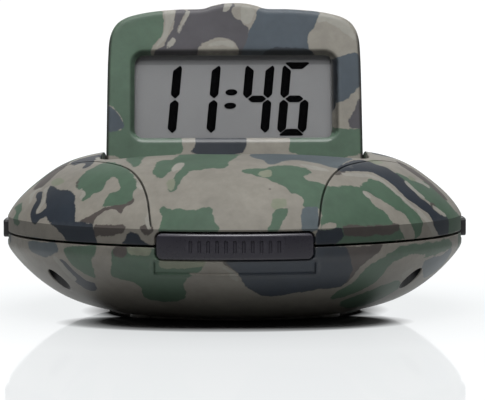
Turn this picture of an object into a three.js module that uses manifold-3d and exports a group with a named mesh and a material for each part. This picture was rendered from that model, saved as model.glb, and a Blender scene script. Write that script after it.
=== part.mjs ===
// Portable alarm clock: a round lens-shaped case with a flip-up display.
// Millimetres, +Z up, front towards -Y, right towards +X, Z = 0 is the table.

import * as THREE from "three";
import { mergeVertices } from "three/addons/utils/BufferGeometryUtils.js";
import Module from "manifold-3d";

const wasm = await Module();
wasm.setup();

// ---------------------------------------------------------------- driving dimensions

const CASE_R = 55.1; // outside radius of the case at the seam
const SEAM_Z = 19.6; // height of the seam above the table
const SEAM_GAP = 0.4; // open line between the two halves
const CASE_SEGMENTS = 48;
const INSIDE_SEGMENTS = 36;
const WALL = 2.0;

const PLINTH_R = 31.0;
const PLINTH_Z = 0.5;
const FOOT_R = 4.0;

const SCREW_X = 41.0; // case screws
const SCREW_Y = 27.5;
const WELL_R = 2.5;

const HINGE_Y = 17.5; // axis of the display hinge
const HINGE_Z = SEAM_Z + 14.4;
const DISPLAY_LEAN = 15.0; // degrees the raised display leans back
const DISPLAY_HALF = 4.7; // radius of the display barrel, and hinge axis to front face
const DISPLAY_TOP = 39.8; // hinge axis to the top edge
const POCKET_GAP = 0.6; // gap around the folded display
const POCKET_FLOOR = SEAM_Z + 9.2;
const POCKET_SKIN = 1.6;

const WINDOW_HALF = 24.9; // display window
const WINDOW_LOW = 6.6;
const WINDOW_HIGH = 27.8;

const BUTTON_W = 35.6; // front bar
const BUTTON_H = 5.96;
const BUTTON_Z = SEAM_Z + 0.08;
const BUTTON_GAP = 0.45;

const KEY_X = [-18, -6, 6, 18]; // set buttons in the pocket floor
const KEY_W = 8.0;
const KEY_D = 5.0;
const KEY_PROUD = 0.7;

const KNOB_HALF = 4.5; // side knobs
const KNOB_LOW = SEAM_Z - 1.3;
const KNOB_HIGH = SEAM_Z + 2.9;
const KNOB_OUT = CASE_R + 1.0;

const PCB_Z0 = 17.1;
const PCB_Z1 = 18.7;
const KEYPAD_Z0 = 21.0;
const KEYPAD_Z1 = 22.2;

const CELL_R = 5.25; // battery cells
const CELL_X = 5.55;
const CELL_Z = 7.9;

const MOTOR_X = -27.0;
const MOTOR_Z = 9.8;
const MOTOR_R = 6.0;

const SPEAKER_X = 25.0;

// ---------------------------------------------------------------- shape helpers

// A closed solid from any three.js geometry, turned right side out.
function solid(geometry) {
  const flat = geometry.index ? geometry.toNonIndexed() : geometry.clone();
  for (const name of Object.keys(flat.attributes)) {
    if (name !== "position") flat.deleteAttribute(name);
  }
  const merged = mergeVertices(flat, 1e-4);
  const p = merged.attributes.position.array;
  const index = merged.index.array;
  const tris = [];
  let volume = 0;
  for (let i = 0; i < index.length; i += 3) {
    const [a, b, c] = [index[i], index[i + 1], index[i + 2]];
    if (a === b || b === c || a === c) continue;
    tris.push(a, b, c);
    const [A, B, C] = [a, b, c].map((k) => new THREE.Vector3().fromArray(p, 3 * k));
    volume += A.dot(B.cross(C));
  }
  if (volume < 0) {
    for (let i = 0; i < tris.length; i += 3) [tris[i + 1], tris[i + 2]] = [tris[i + 2], tris[i + 1]];
  }
  return new wasm.Manifold(
    new wasm.Mesh({ numProp: 3, vertProperties: new Float32Array(p), triVerts: new Uint32Array(tris) }),
  );
}

// Profile of [radius, height] turned about Z.
function turned(profile, segments = CASE_SEGMENTS) {
  const g = new THREE.LatheGeometry(profile.map(([r, z]) => new THREE.Vector2(r, z)), segments);
  return solid(g.rotateX(Math.PI / 2));
}

function ringProfile(profile) {
  return [...profile, profile[0]];
}

function extruded(points, depth) {
  const shape = new THREE.Shape(points.map(([a, b]) => new THREE.Vector2(a, b)));
  return new THREE.ExtrudeGeometry(shape, { depth, bevelEnabled: false, curveSegments: 1 });
}

// Outline of [x, y] standing along Z, of [x, z] along Y, and of [y, z] along X.
function alongZ(points, z0, z1) {
  return solid(extruded(points, z1 - z0).translate(0, 0, z0));
}

function alongY(points, y0, y1) {
  return solid(extruded(points, y1 - y0).rotateX(Math.PI / 2).translate(0, y1, 0));
}

function alongX(points, x0, x1) {
  const turn = new THREE.Matrix4().set(0, 0, 1, x0, 1, 0, 0, 0, 0, 1, 0, 0, 0, 0, 0, 1);
  return solid(extruded(points, x1 - x0).applyMatrix4(turn));
}

function box(x0, x1, y0, y1, z0, z1) {
  return solid(
    new THREE.BoxGeometry(x1 - x0, y1 - y0, z1 - z0).translate((x0 + x1) / 2, (y0 + y1) / 2, (z0 + z1) / 2),
  );
}

function circle(a, b, r, n = 16) {
  return Array.from({ length: n }, (_, i) => {
    const t = (2 * Math.PI * (i + 0.5)) / n;
    return [a + r * Math.cos(t), b + r * Math.sin(t)];
  });
}

function roundRect(a0, a1, b0, b1, r, n = 3) {
  const out = [];
  const corners = [
    [a1 - r, b1 - r, 0],
    [a0 + r, b1 - r, 90],
    [a0 + r, b0 + r, 180],
    [a1 - r, b0 + r, 270],
  ];
  for (const [a, b, start] of corners) {
    for (let i = 0; i <= n; i++) {
      const t = ((start + (90 * i) / n) * Math.PI) / 180;
      out.push([a + r * Math.cos(t), b + r * Math.sin(t)]);
    }
  }
  return out;
}

// Closed outline moved outwards by d (inwards when negative); points run anticlockwise.
function offset(points, d) {
  const n = points.length;
  return points.map((p, i) => {
    const a = points[(i + n - 1) % n];
    const b = points[(i + 1) % n];
    const e1 = [p[0] - a[0], p[1] - a[1]];
    const e2 = [b[0] - p[0], b[1] - p[1]];
    const l1 = Math.hypot(...e1);
    const l2 = Math.hypot(...e2);
    const n1 = [e1[1] / l1, -e1[0] / l1];
    const n2 = [e2[1] / l2, -e2[0] / l2];
    const k = d / (1 + n1[0] * n2[0] + n1[1] * n2[1]);
    return [p[0] + k * (n1[0] + n2[0]), p[1] + k * (n1[1] + n2[1])];
  });
}

// Round wire along a smooth curve.
function wire(points, r, steps, sides = 8) {
  const path = new THREE.CatmullRomCurve3(points.map((p) => new THREE.Vector3(...p)));
  const shape = new THREE.Shape(circle(0, 0, r, sides).map(([a, b]) => new THREE.Vector2(a, b)));
  return solid(new THREE.ExtrudeGeometry(shape, { steps, extrudePath: path, curveSegments: 1 }));
}

const union = (...parts) => parts.reduce((a, b) => a.add(b));

// ---------------------------------------------------------------- materials

const finish = (color, roughness, metalness = 0) =>
  new THREE.MeshStandardMaterial({ color, roughness, metalness });
const paint = {
  shell: finish(0x8f8c7c, 0.55),
  grey: finish(0x4a4850, 0.5),
  black: finish(0x1d1d1f, 0.5),
  rubber: finish(0x222222, 0.9),
  board: finish(0x1f5a35, 0.6),
  steel: finish(0xb4b6b8, 0.35, 1),
  brass: finish(0xb59a55, 0.35, 1),
  cell: finish(0x3a3c40, 0.4, 0.4),
  clear: finish(0xdfe4e6, 0.1),
  glass: finish(0x8f9092, 0.25),
  white: finish(0xe6e6e2, 0.6),
};

const clock = new THREE.Group();
clock.name = "alarm_clock";

const flap = new THREE.Group();
flap.name = "flip_display";
flap.position.set(0, HINGE_Y, HINGE_Z);
flap.rotation.x = -THREE.MathUtils.degToRad(DISPLAY_LEAN);
clock.add(flap);

function piece(name, body, material, parent = clock) {
  const mesh = body.simplify(0.02).getMesh();
  const g = new THREE.BufferGeometry();
  const n = mesh.vertProperties.length / mesh.numProp;
  const xyz = new Float32Array(3 * n);
  for (let i = 0; i < n; i++) {
    for (let k = 0; k < 3; k++) xyz[3 * i + k] = mesh.vertProperties[mesh.numProp * i + k];
  }
  g.setAttribute("position", new THREE.BufferAttribute(xyz, 3));
  g.setIndex(new THREE.BufferAttribute(new Uint32Array(mesh.triVerts), 1));
  g.computeVertexNormals();
  const node = new THREE.Mesh(g, material);
  node.name = name;
  parent.add(node);
  return node;
}

// ---------------------------------------------------------------- case profiles

const up = (list) => list.map(([r, z]) => [r, SEAM_Z + z]);
const TOP_OUT = up([
  [CASE_R, SEAM_GAP / 2],
  [CASE_R, 2.2],
  [54.95, 3.7],
  [53.75, 6.3],
  [51.75, 8.7],
  [49.35, 11.1],
  [46.35, 13.6],
  [42.5, 16.0],
  [39.6, 17.25],
  [36.1, 18.35],
  [30.0, 19.2],
  [22.0, 19.75],
  [0, 20.1],
]);
const TOP_IN = up([
  [CASE_R - WALL, SEAM_GAP / 2],
  [53.0, 3.0],
  [50.6, 7.0],
  [46.6, 10.9],
  [41.0, 14.3],
  [36.0, 16.2],
  [28.0, 17.3],
  [0, 18.0],
]);
const LOW_OUT = [
  [0, PLINTH_Z],
  [PLINTH_R, PLINTH_Z],
  [PLINTH_R + 0.15, 1.15],
  ...up([
    [34.5, -17.8],
    [37.9, -16.6],
    [40.9, -15.4],
    [45.1, -13.1],
    [48.2, -10.7],
    [50.95, -8.2],
    [53.25, -5.8],
    [54.8, -3.4],
    [CASE_R, -2.1],
    [CASE_R, -SEAM_GAP / 2],
  ]),
];
const LOW_IN = up([
  [0, -16.9],
  [29.0, -16.9],
  [36.0, -15.3],
  [42.5, -12.7],
  [47.6, -9.0],
  [51.6, -5.1],
  [53.0, -2.5],
  [CASE_R - WALL, -SEAM_GAP / 2],
]);

// The same profile drawn in by d.
function drawnIn(profile, d) {
  return profile.map(([r, z], i) => {
    const a = profile[Math.max(i - 1, 0)];
    const b = profile[Math.min(i + 1, profile.length - 1)];
    const l = Math.hypot(b[0] - a[0], b[1] - a[1]);
    return [Math.max(r - (d * (b[1] - a[1])) / l, 0), z + (d * (b[0] - a[0])) / l];
  });
}

const GROOVE_W = 0.4;
const GROOVE_DEEP = 0.35;
const topSolid = turned([[0, TOP_OUT[0][1]], ...TOP_OUT]);
const topSunken = turned([[0, SEAM_Z], ...drawnIn(TOP_OUT, GROOVE_DEEP)]);
const lowSunken = turned([...drawnIn(LOW_OUT, GROOVE_DEEP), [0, SEAM_Z - SEAM_GAP / 2]]);
const topVoid = turned([[0, TOP_IN[0][1] - 1], [TOP_IN[0][0], TOP_IN[0][1] - 1], ...TOP_IN], INSIDE_SEGMENTS);
const lowSolid = turned([...LOW_OUT, [0, LOW_OUT[LOW_OUT.length - 1][1]]]);
const lowVoid = turned(
  [...LOW_IN, [LOW_IN[LOW_IN.length - 1][0], SEAM_Z + 1], [0, SEAM_Z + 1]],
  INSIDE_SEGMENTS,
);

// ---------------------------------------------------------------- display outline

// Right half of the outline, [across, up the panel from the hinge axis], with the finger tab on top.
const EDGE = [
  [31.9, 0],
  [31.8, 10],
  [31.7, 20],
  [31.55, 27],
  [31.2, 31.9],
  [30.45, 34.3],
  [29.1, 36.2],
  [27.0, 37.5],
  [24.0, 38.4],
  [20.0, 39.1],
  [14.0, 39.6],
  [7.6, DISPLAY_TOP],
  [5.9, 40.4],
  [3.2, 41.05],
  [0, 41.25],
];
// Anticlockwise, closed along a straight line at the given height.
function outline(low) {
  const right = [[31.9, low], ...EDGE.filter(([, v]) => v > low + 0.01)];
  const left = right
    .slice(0, -1)
    .reverse()
    .map(([u, v]) => [-u, v]);
  return [...right, ...left];
}

// ---------------------------------------------------------------- top shell

// Pocket for the folded display: plan outline crossed with a side profile.
const plan = offset(outline(-12), POCKET_GAP).map(([u, v]) => [u, HINGE_Y - v]).reverse();
const barrelR = DISPLAY_HALF + 0.35;
const lean = THREE.MathUtils.degToRad(DISPLAY_LEAN + 6);
const pocketSide = (grow) => {
  const r = barrelR + grow;
  const pts = [
    [-40, POCKET_FLOOR - grow],
    [HINGE_Y - 1, POCKET_FLOOR - grow],
  ];
  const first = -Math.PI / 2;
  const last = -lean;
  for (let i = 0; i <= 6; i++) {
    const t = first + ((last - first) * i) / 6;
    pts.push([HINGE_Y + r * Math.cos(t), HINGE_Z + r * Math.sin(t)]);
  }
  const far = pts[pts.length - 1];
  pts.push([far[0] + 14 * Math.sin(lean), far[1] + 14 * Math.cos(lean)]);
  pts.push([-40, far[1] + 14 * Math.cos(lean)]);
  return pts;
};
const pocket = alongX(pocketSide(0), -60, 60).intersect(alongZ(plan, SEAM_Z, SEAM_Z + 40));
const planOut = offset(plan, 1.8);
const pocketHull = alongX(pocketSide(POCKET_SKIN), -60, 60).intersect(alongZ(planOut, SEAM_Z, SEAM_Z + 40));

const barSlot = alongY(
  roundRect(
    -BUTTON_W / 2 - BUTTON_GAP,
    BUTTON_W / 2 + BUTTON_GAP,
    BUTTON_Z - BUTTON_H / 2 - BUTTON_GAP,
    BUTTON_Z + BUTTON_H / 2 + BUTTON_GAP,
    1.75,
  ),
  -60,
  -45,
);
const knobSlot = (side) =>
  alongX(
    roundRect(-KNOB_HALF - 3.8, KNOB_HALF + 3.8, KNOB_LOW - 0.45, KNOB_HIGH + 0.45, 0.8, 2),
    side > 0 ? 46 : -60,
    side > 0 ? 60 : -46,
  );

let top = topSolid.subtract(topVoid).add(pocketHull.intersect(topSunken));
for (const sx of [-1, 1]) {
  // Boss for the hinge pin outside the pocket wall.
  const x0 = sx > 0 ? 33 : -35.4;
  top = top.add(alongX(circle(HINGE_Y, HINGE_Z, 3.4, 12), x0, x0 + 2.4).intersect(topSunken));
  for (const sy of [-1, 1]) {
    top = top.add(
      alongZ(circle(sx * SCREW_X, sy * SCREW_Y, 3.2, 12), SEAM_Z + 0.2, SEAM_Z + 14).intersect(topSunken),
    );
  }
  // Posts for the keypad board under the pocket floor.
  top = top.add(alongZ(circle(sx * 26.5, 0, 2.4, 10), KEYPAD_Z1 + 0.3, POCKET_FLOOR - 0.6));
}
top = top.subtract(pocket).subtract(barSlot).subtract(knobSlot(1)).subtract(knobSlot(-1));
for (const sx of [-1, 1]) {
  top = top.subtract(alongZ(circle(sx * 26.5, 0, 1.1, 8), KEYPAD_Z1, KEYPAD_Z1 + 4.3));
  for (const sy of [-1, 1]) {
    top = top.subtract(alongZ(circle(sx * SCREW_X, sy * SCREW_Y, 1.35, 8), SEAM_Z - 1, SEAM_Z + 8));
  }
}
top = top.subtract(alongX(circle(HINGE_Y, HINGE_Z, 1.55, 12), 30, 35.0));
top = top.subtract(alongX(circle(HINGE_Y, HINGE_Z, 1.95, 12), -35.6, -30));
for (const x of KEY_X) {
  top = top.subtract(
    alongZ(
      roundRect(x - KEY_W / 2 - 0.35, x + KEY_W / 2 + 0.35, -KEY_D / 2 - 0.35, KEY_D / 2 + 0.35, 1.9),
      POCKET_FLOOR - 5,
      POCKET_FLOOR + 3,
    ),
  );
}

// Fine groove over each cheek, from the front bar round to the side knob.
const GROOVE = [
  [19.0, -53.2],
  [19.5, -47.0],
  [21.2, -40.6],
  [24.0, -33.8],
  [28.0, -26.4],
  [32.8, -18.6],
  [38.0, -11.6],
  [43.4, -7.2],
  [49.0, -4.6],
  [53.4, -3.4],
];
for (const sx of [-1, 1]) {
  const line = GROOVE.map(([x, y]) => [sx * x, y]);
  const band = [];
  const back = [];
  line.forEach((p, i) => {
    const [a, b] = [line[Math.max(i - 1, 0)], line[Math.min(i + 1, line.length - 1)]];
    const l = Math.hypot(b[0] - a[0], b[1] - a[1]);
    const nrm = [(-(b[1] - a[1]) / l) * (GROOVE_W / 2), ((b[0] - a[0]) / l) * (GROOVE_W / 2)];
    band.push([p[0] + nrm[0], p[1] + nrm[1]]);
    back.unshift([p[0] - nrm[0], p[1] - nrm[1]]);
  });
  const cut = alongZ([...band, ...back], SEAM_Z + 3, SEAM_Z + 30).subtract(topSunken);
  top = top.subtract(cut);
}
piece("top_shell", top, paint.shell);

// ---------------------------------------------------------------- bottom shell

const DOOR_HALF = 12.6;
const DOOR_FRONT = -25.6;
const DOOR_REAR = 26.0;
const DOOR_Z0 = PLINTH_Z + 0.1;
const DOOR_Z1 = DOOR_Z0 + 1.3;
const BOX_TOP = 16.3;

let low = lowSolid.subtract(lowVoid);
let tongue = turned(
  ringProfile(
    up([
      [51.6, -3.2],
      [53.5, -3.2],
      [53.5, -0.6],
      [52.7, -0.6],
      [52.7, 1.7],
      [51.6, 1.7],
    ]),
  ),
  36,
);
tongue = tongue.subtract(box(-23, 23, -60, -40, SEAM_Z - 6, SEAM_Z + 6));
for (const sx of [-1, 1]) {
  tongue = tongue.subtract(box(sx > 0 ? 44 : -60, sx > 0 ? 60 : -44, -14.5, 14.5, SEAM_Z - 6, SEAM_Z + 6));
  for (const sy of [-1, 1]) {
    tongue = tongue.subtract(alongZ(circle(sx * SCREW_X, sy * SCREW_Y, 4.0, 12), SEAM_Z - 0.5, SEAM_Z + 6));
  }
}
low = low.add(tongue);

let inside = box(-13, 13, -27.6, 27.6, 1, BOX_TOP);
for (const sx of [-1, 1]) {
  for (const sy of [-1, 1]) {
    inside = inside
      .add(alongZ(circle(sx * SCREW_X, sy * SCREW_Y, 3.7, 14), 2, SEAM_Z - 0.2))
      .add(alongZ(circle(sx * 17.5, sy * 13, 2.4, 10), 2, PCB_Z0 - 0.3));
  }
}
// Ribs that carry the motor, and the studs its strap is staked to.
for (const y of [-9, 3.5]) inside = inside.add(box(-35, -19.4, y - 1.25, y + 1.25, 2, 9.0));
for (const x of [MOTOR_X - 8.6, MOTOR_X + 8.6]) {
  inside = inside
    .add(alongZ(circle(x, -2.75, 1.9, 10), 2, MOTOR_Z - 0.3))
    .add(alongZ(circle(x, -2.75, 0.8, 8), MOTOR_Z - 1, MOTOR_Z + 1.7));
}
// Ring wall under the speaker.
inside = inside.add(
  turned(
    ringProfile([
      [8.8, 2],
      [10.4, 2],
      [10.4, 6.4],
      [8.8, 6.4],
    ]),
    20,
  ).translate([SPEAKER_X, 0, 0]),
);
low = low.add(inside.intersect(lowSunken));

// Battery box, door seat and hook slots.
low = low.subtract(box(-11.4, 11.4, -25.95, 26.1, -1, 14.8));
low = low.subtract(box(-DOOR_HALF - 0.35, DOOR_HALF + 0.35, DOOR_FRONT - 0.35, DOOR_REAR + 0.35, -1, DOOR_Z1 + 0.3));
for (const x of [-10.35, 10.35]) low = low.subtract(box(x - 1.15, x + 1.15, -28.4, -25, 2.75, 5.4));
// Screw wells.
for (const sx of [-1, 1]) {
  for (const sy of [-1, 1]) {
    low = low
      .subtract(alongZ(circle(sx * SCREW_X, sy * SCREW_Y, WELL_R, 16), -1, SEAM_Z - 5))
      .subtract(alongZ(circle(sx * SCREW_X, sy * SCREW_Y, 1.5, 8), 3, SEAM_Z + 1));
    low = low.subtract(alongZ(circle(sx * 20.5, sy * 19.5, FOOT_R + 0.35, 16), -1, PLINTH_Z + 0.7));
  }
}
// Sound holes.
const holes = [[0, 0]];
for (let i = 0; i < 6; i++) {
  const t = (Math.PI * (2 * i + 1)) / 6;
  holes.push([4.6 * Math.cos(t), 4.6 * Math.sin(t)]);
}
for (const [a, b] of holes) low = low.subtract(alongZ(circle(SPEAKER_X + a, b, 1.2, 8), -1, 6));
// Motor seat.
low = low.subtract(alongY(circle(MOTOR_X, MOTOR_Z, MOTOR_R + 0.35, 20), -14, 8.4));
low = low.subtract(barSlot).subtract(knobSlot(1)).subtract(knobSlot(-1));
// Shallow panel moulded under the front bar.
const sunkLow = turned([
  [0, SEAM_Z - 12],
  [46.9, SEAM_Z - 12],
  [48.0, SEAM_Z - 10.5],
  [50.55, SEAM_Z - 8.1],
  [52.85, SEAM_Z - 5.75],
  [54.35, SEAM_Z - 3.4],
  [54.65, SEAM_Z - 2.0],
  [54.65, SEAM_Z],
  [0, SEAM_Z],
]);
low = low.subtract(
  alongY(roundRect(-18.35, 18.35, SEAM_Z - 6.6, SEAM_Z - 3.0, 0.8, 2), -60, -40).subtract(sunkLow),
);
piece("bottom_shell", low, paint.shell);

// ---------------------------------------------------------------- feet and case screws

let count = 0;
for (const sy of [-1, 1]) {
  for (const sx of [-1, 1]) {
    count += 1;
    const foot = turned(
      [
        [0, 0],
        [FOOT_R - 0.4, 0],
        [FOOT_R, 0.35],
        [FOOT_R, PLINTH_Z + 0.4],
        [0, PLINTH_Z + 0.4],
      ],
      16,
    ).translate([sx * 20.5, sy * 19.5, 0]);
    piece(`rubber_foot_${count}`, foot, paint.rubber);

    let screw = turned(
      [
        [0, SEAM_Z - 6.9],
        [1.7, SEAM_Z - 6.9],
        [2.15, SEAM_Z - 6.4],
        [2.15, SEAM_Z - 5.3],
        [1.05, SEAM_Z - 5.3],
        [1.05, SEAM_Z + 6.6],
        [0, SEAM_Z + 7.2],
      ],
      10,
    ).subtract(box(-1.4, 1.4, -0.25, 0.25, SEAM_Z - 8, SEAM_Z - 6.3));
    screw = screw.subtract(box(-0.25, 0.25, -1.4, 1.4, SEAM_Z - 8, SEAM_Z - 6.3));
    piece(`case_screw_${count}`, screw.translate([sx * SCREW_X, sy * SCREW_Y, 0]), paint.steel);
  }
}

// ---------------------------------------------------------------- battery door, cells and contacts

let door = box(-DOOR_HALF, DOOR_HALF, DOOR_FRONT, DOOR_REAR, DOOR_Z0, DOOR_Z1);
for (const x of [-10.35, 10.35]) {
  door = door
    .add(box(x - 0.75, x + 0.75, -25.2, -24.2, DOOR_Z1 - 0.5, 3.7))
    .add(box(x - 0.75, x + 0.75, -27.5, -24.6, 3.05, 3.7));
}
// Springy latch at the rear edge, and grip grooves for a thumb.
door = door
  .add(box(1, 9, 23.3, 24.1, DOOR_Z1 - 0.5, 3.6))
  .add(box(1, 9, 23.6, 25.6, 3.0, 3.6))
  .add(box(1, 9, 24.9, 25.6, 2.3, 3.4));
for (const y of [16.5, 18, 19.5, 21]) door = door.subtract(box(-5, 5, y - 0.3, y + 0.3, 0, DOOR_Z0 + 0.4));
piece("battery_door", door, paint.shell);

const cell = (x, front, rear, nub) => {
  // nub +1: button end towards the rear.
  const a = nub > 0 ? front : front + 1;
  const b = nub > 0 ? rear - 1 : rear;
  return alongY(circle(x, CELL_Z, CELL_R, 24), a, b).add(
    alongY(circle(x, CELL_Z, 1.9, 12), nub > 0 ? b - 0.5 : front, nub > 0 ? rear : a + 0.5),
  );
};
piece("battery_cell_1", cell(-CELL_X, -19.6, 24.9, 1), paint.cell);
piece("battery_cell_2", cell(CELL_X, -24.9, 19.6, -1), paint.cell);

const coil = (x, y0, y1) => {
  const points = [];
  const turns = 3;
  for (let i = 0; i <= 30; i++) {
    const t = i / 30;
    const r = 3.7 - 1.5 * t;
    const a = 2 * Math.PI * turns * t;
    points.push([x + r * Math.cos(a), y0 + (y1 - y0) * t, CELL_Z + r * Math.sin(a)]);
  }
  return wire(points, 0.3, 33, 5);
};
piece("battery_spring_front", coil(-CELL_X, -24.7, -20.25), paint.steel);
piece("battery_spring_rear", coil(CELL_X, 24.7, 20.25), paint.steel);
const plate = (x0, x1, y0) => alongY(roundRect(x0, x1, 5.9, 12.4, 1), y0, y0 + 0.45);
piece("battery_bridge_plate", plate(-10.4, 10.4, -25.65), paint.brass);
piece("battery_positive_plate", plate(-10.4, -0.7, 25.25), paint.brass);
piece("battery_negative_plate", plate(0.7, 10.4, 25.25), paint.brass);

// ---------------------------------------------------------------- main board

let board = union(
  box(-47.5, 47.5, -18, 18, PCB_Z0, PCB_Z1),
  box(-14, 14, -47, -17, PCB_Z0, PCB_Z1),
  box(-30, 30, 17, 30, PCB_Z0, PCB_Z1),
);
for (const [x, y] of [
  [-17.5, -13],
  [17.5, -13],
  [-17.5, 13],
  [17.5, 13],
]) {
  board = board.subtract(alongZ(circle(x, y, 1.3, 10), 10, 30));
}
piece("main_pcb", board, paint.board);
[
  [-17.5, -13],
  [17.5, 13],
].forEach(([x, y], i) => {
  const screw = turned(
    [
      [0, PCB_Z0 + 0.2],
      [0.9, PCB_Z0 + 0.2],
      [0.9, PCB_Z1 + 0.3],
      [1.9, PCB_Z1 + 0.3],
      [1.9, PCB_Z1 + 1.1],
      [1.2, PCB_Z1 + 1.5],
      [0, PCB_Z1 + 1.5],
    ],
    12,
  );
  piece(`pcb_screw_${i + 1}`, screw.translate([x, y, 0]), paint.steel);
});
piece("controller_chip", box(-6, 6, -8, 4, PCB_Z1 + 0.25, PCB_Z1 + 1.9), paint.black);

// ---------------------------------------------------------------- front bar and its switch

const STEM_Z = 20.8;
const bar = turned(
  ringProfile([
    [51.2, SEAM_Z - 8],
    [CASE_R + 0.15, SEAM_Z - 8],
    [CASE_R + 0.15, SEAM_Z + 8],
    [51.2, SEAM_Z + 8],
  ]),
  CASE_SEGMENTS,
).intersect(
  alongY(
    roundRect(-BUTTON_W / 2, BUTTON_W / 2, BUTTON_Z - BUTTON_H / 2, BUTTON_Z + BUTTON_H / 2, 1.3),
    -60,
    -40,
  ),
);
const barFlange = turned(
  ringProfile([
    [50.7, BUTTON_Z - 4.0],
    [51.9, BUTTON_Z - 4.0],
    [51.9, BUTTON_Z + 4.0],
    [50.7, BUTTON_Z + 4.0],
  ]),
  CASE_SEGMENTS,
).intersect(box(-20.2, 20.2, -60, -40, SEAM_Z - 8, SEAM_Z + 8));
let snooze = union(
  bar,
  barFlange,
  alongY(circle(0, STEM_Z, 2.0, 12), -52, -48.4),
  alongY(circle(0, STEM_Z, 1.4, 10), -49, -45.2),
);
// Grip ribs on the face.
for (let i = -5; i <= 5; i++) {
  snooze = snooze.subtract(box(2 * i - 0.3, 2 * i + 0.3, -60, -Math.sqrt(CASE_R ** 2 - 4 * i * i) + 0.1, BUTTON_Z - 1.4, BUTTON_Z + 1.4));
}
piece("snooze_button", snooze, paint.grey);
piece(
  "snooze_switch",
  box(-3.5, 3.5, -47.3, -41.5, PCB_Z1 + 0.25, 22.8).subtract(alongY(circle(0, STEM_Z, 1.75, 12), -50, -43.6)),
  paint.black,
);

// ---------------------------------------------------------------- side knobs and their switches

for (const [name, side] of [
  ["mode", 1],
  ["volume", -1],
]) {
  const span = (a, b) => (side > 0 ? [a, b] : [-b, -a]);
  const bar3 = (a, b, y0, y1, z0, z1) => box(...span(a, b), y0, y1, z0, z1);
  let knob = union(
    alongX(roundRect(-KNOB_HALF, KNOB_HALF, KNOB_LOW, KNOB_HIGH, 0.8, 2), ...span(53.3, KNOB_OUT)),
    bar3(50.3, 53.8, -3, 3, KNOB_LOW + 0.5, KNOB_HIGH - 0.5),
    bar3(49.8, 50.8, -9, 9, SEAM_Z - 2.0, SEAM_Z + 3.5),
    bar3(46.6, 50.2, -1, 1, SEAM_Z + 0.3, SEAM_Z + 1.5),
  );
  for (const y of [-2.7, -0.9, 0.9, 2.7]) {
    knob = knob.subtract(bar3(KNOB_OUT - 0.4, 60, y - 0.35, y + 0.35, 10, 30));
  }
  piece(`${name}_slide_knob`, knob, paint.black);
  piece(
    `${name}_switch`,
    bar3(41.5, 47.9, -5.5, 5.5, PCB_Z1 + 0.25, 22.2).subtract(
      bar3(46.1, 50, -4.2, 4.2, SEAM_Z - 0.1, SEAM_Z + 1.9),
    ),
    paint.steel,
  );
}

// ---------------------------------------------------------------- keypad

piece(
  "keypad_pcb",
  box(-29.5, 29.5, -8, 8, KEYPAD_Z0, KEYPAD_Z1)
    .subtract(alongZ(circle(-26.5, 0, 1.2, 10), 18, 26))
    .subtract(alongZ(circle(26.5, 0, 1.2, 10), 18, 26)),
  paint.board,
);
[-26.5, 26.5].forEach((x, i) => {
  const screw = turned(
    [
      [0, KEYPAD_Z0 - 1.5],
      [1.2, KEYPAD_Z0 - 1.5],
      [1.8, KEYPAD_Z0 - 1.1],
      [1.8, KEYPAD_Z0 - 0.3],
      [0.8, KEYPAD_Z0 - 0.3],
      [0.8, KEYPAD_Z1 + 3.4],
      [0, KEYPAD_Z1 + 3.8],
    ],
    12,
  );
  piece(`keypad_screw_${i + 1}`, screw.translate([x, 0, 0]), paint.steel);
});
["time", "alarm", "hour", "minute"].forEach((name, i) => {
  const x = KEY_X[i];
  const cap = union(
    alongZ(roundRect(x - KEY_W / 2, x + KEY_W / 2, -KEY_D / 2, KEY_D / 2, 1.6), POCKET_FLOOR - 2.7, POCKET_FLOOR + KEY_PROUD),
    box(x - KEY_W / 2 - 0.9, x + KEY_W / 2 + 0.9, -KEY_D / 2 - 0.9, KEY_D / 2 + 0.9, POCKET_FLOOR - 2.9, POCKET_FLOOR - 2.0),
    alongZ(circle(x, 0, 1.2, 10), POCKET_FLOOR - 4.7, POCKET_FLOOR - 2.5),
  );
  piece(`${name}_button`, cap, paint.grey);
  piece(
    `key_switch_${i + 1}`,
    box(x - 3, x + 3, -3, 3, KEYPAD_Z1 + 0.25, POCKET_FLOOR - 3.9).subtract(
      alongZ(circle(x, 0, 1.55, 10), POCKET_FLOOR - 5.7, POCKET_FLOOR),
    ),
    paint.black,
  );
});

// ---------------------------------------------------------------- bed shaker

piece(
  "vibration_motor",
  union(
    alongY(circle(MOTOR_X, MOTOR_Z, MOTOR_R, 20), -12, 8),
    alongY(circle(MOTOR_X, MOTOR_Z, 2.6, 12), -13, -11.8),
  ).subtract(alongY(circle(MOTOR_X, MOTOR_Z, 1.3, 10), 2, 9)),
  paint.steel,
);
piece("motor_shaft", alongY(circle(MOTOR_X, MOTOR_Z, 1.0, 10), 2.4, 16.4), paint.steel);
const half = [];
for (let i = 0; i <= 12; i++) {
  const t = -Math.PI + (Math.PI * i) / 12;
  half.push([MOTOR_X + 5.7 * Math.cos(t), MOTOR_Z + 5.7 * Math.sin(t)]);
}
half.push([MOTOR_X + 2.2, MOTOR_Z + 2.2], [MOTOR_X - 2.2, MOTOR_Z + 2.2]);
piece(
  "eccentric_weight",
  alongY(half, 9.8, 15.8).subtract(alongY(circle(MOTOR_X, MOTOR_Z, 1.3, 10), 9, 17)),
  paint.brass,
);
const arch = [];
for (let i = 0; i <= 10; i++) {
  const t = (Math.PI * i) / 10;
  arch.push([MOTOR_X + 6.9 * Math.cos(t), MOTOR_Z + 6.9 * Math.sin(t)]);
}
for (let i = 10; i >= 0; i--) {
  const t = (Math.PI * i) / 10;
  arch.push([MOTOR_X + 6.3 * Math.cos(t), MOTOR_Z + 6.3 * Math.sin(t)]);
}
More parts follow.
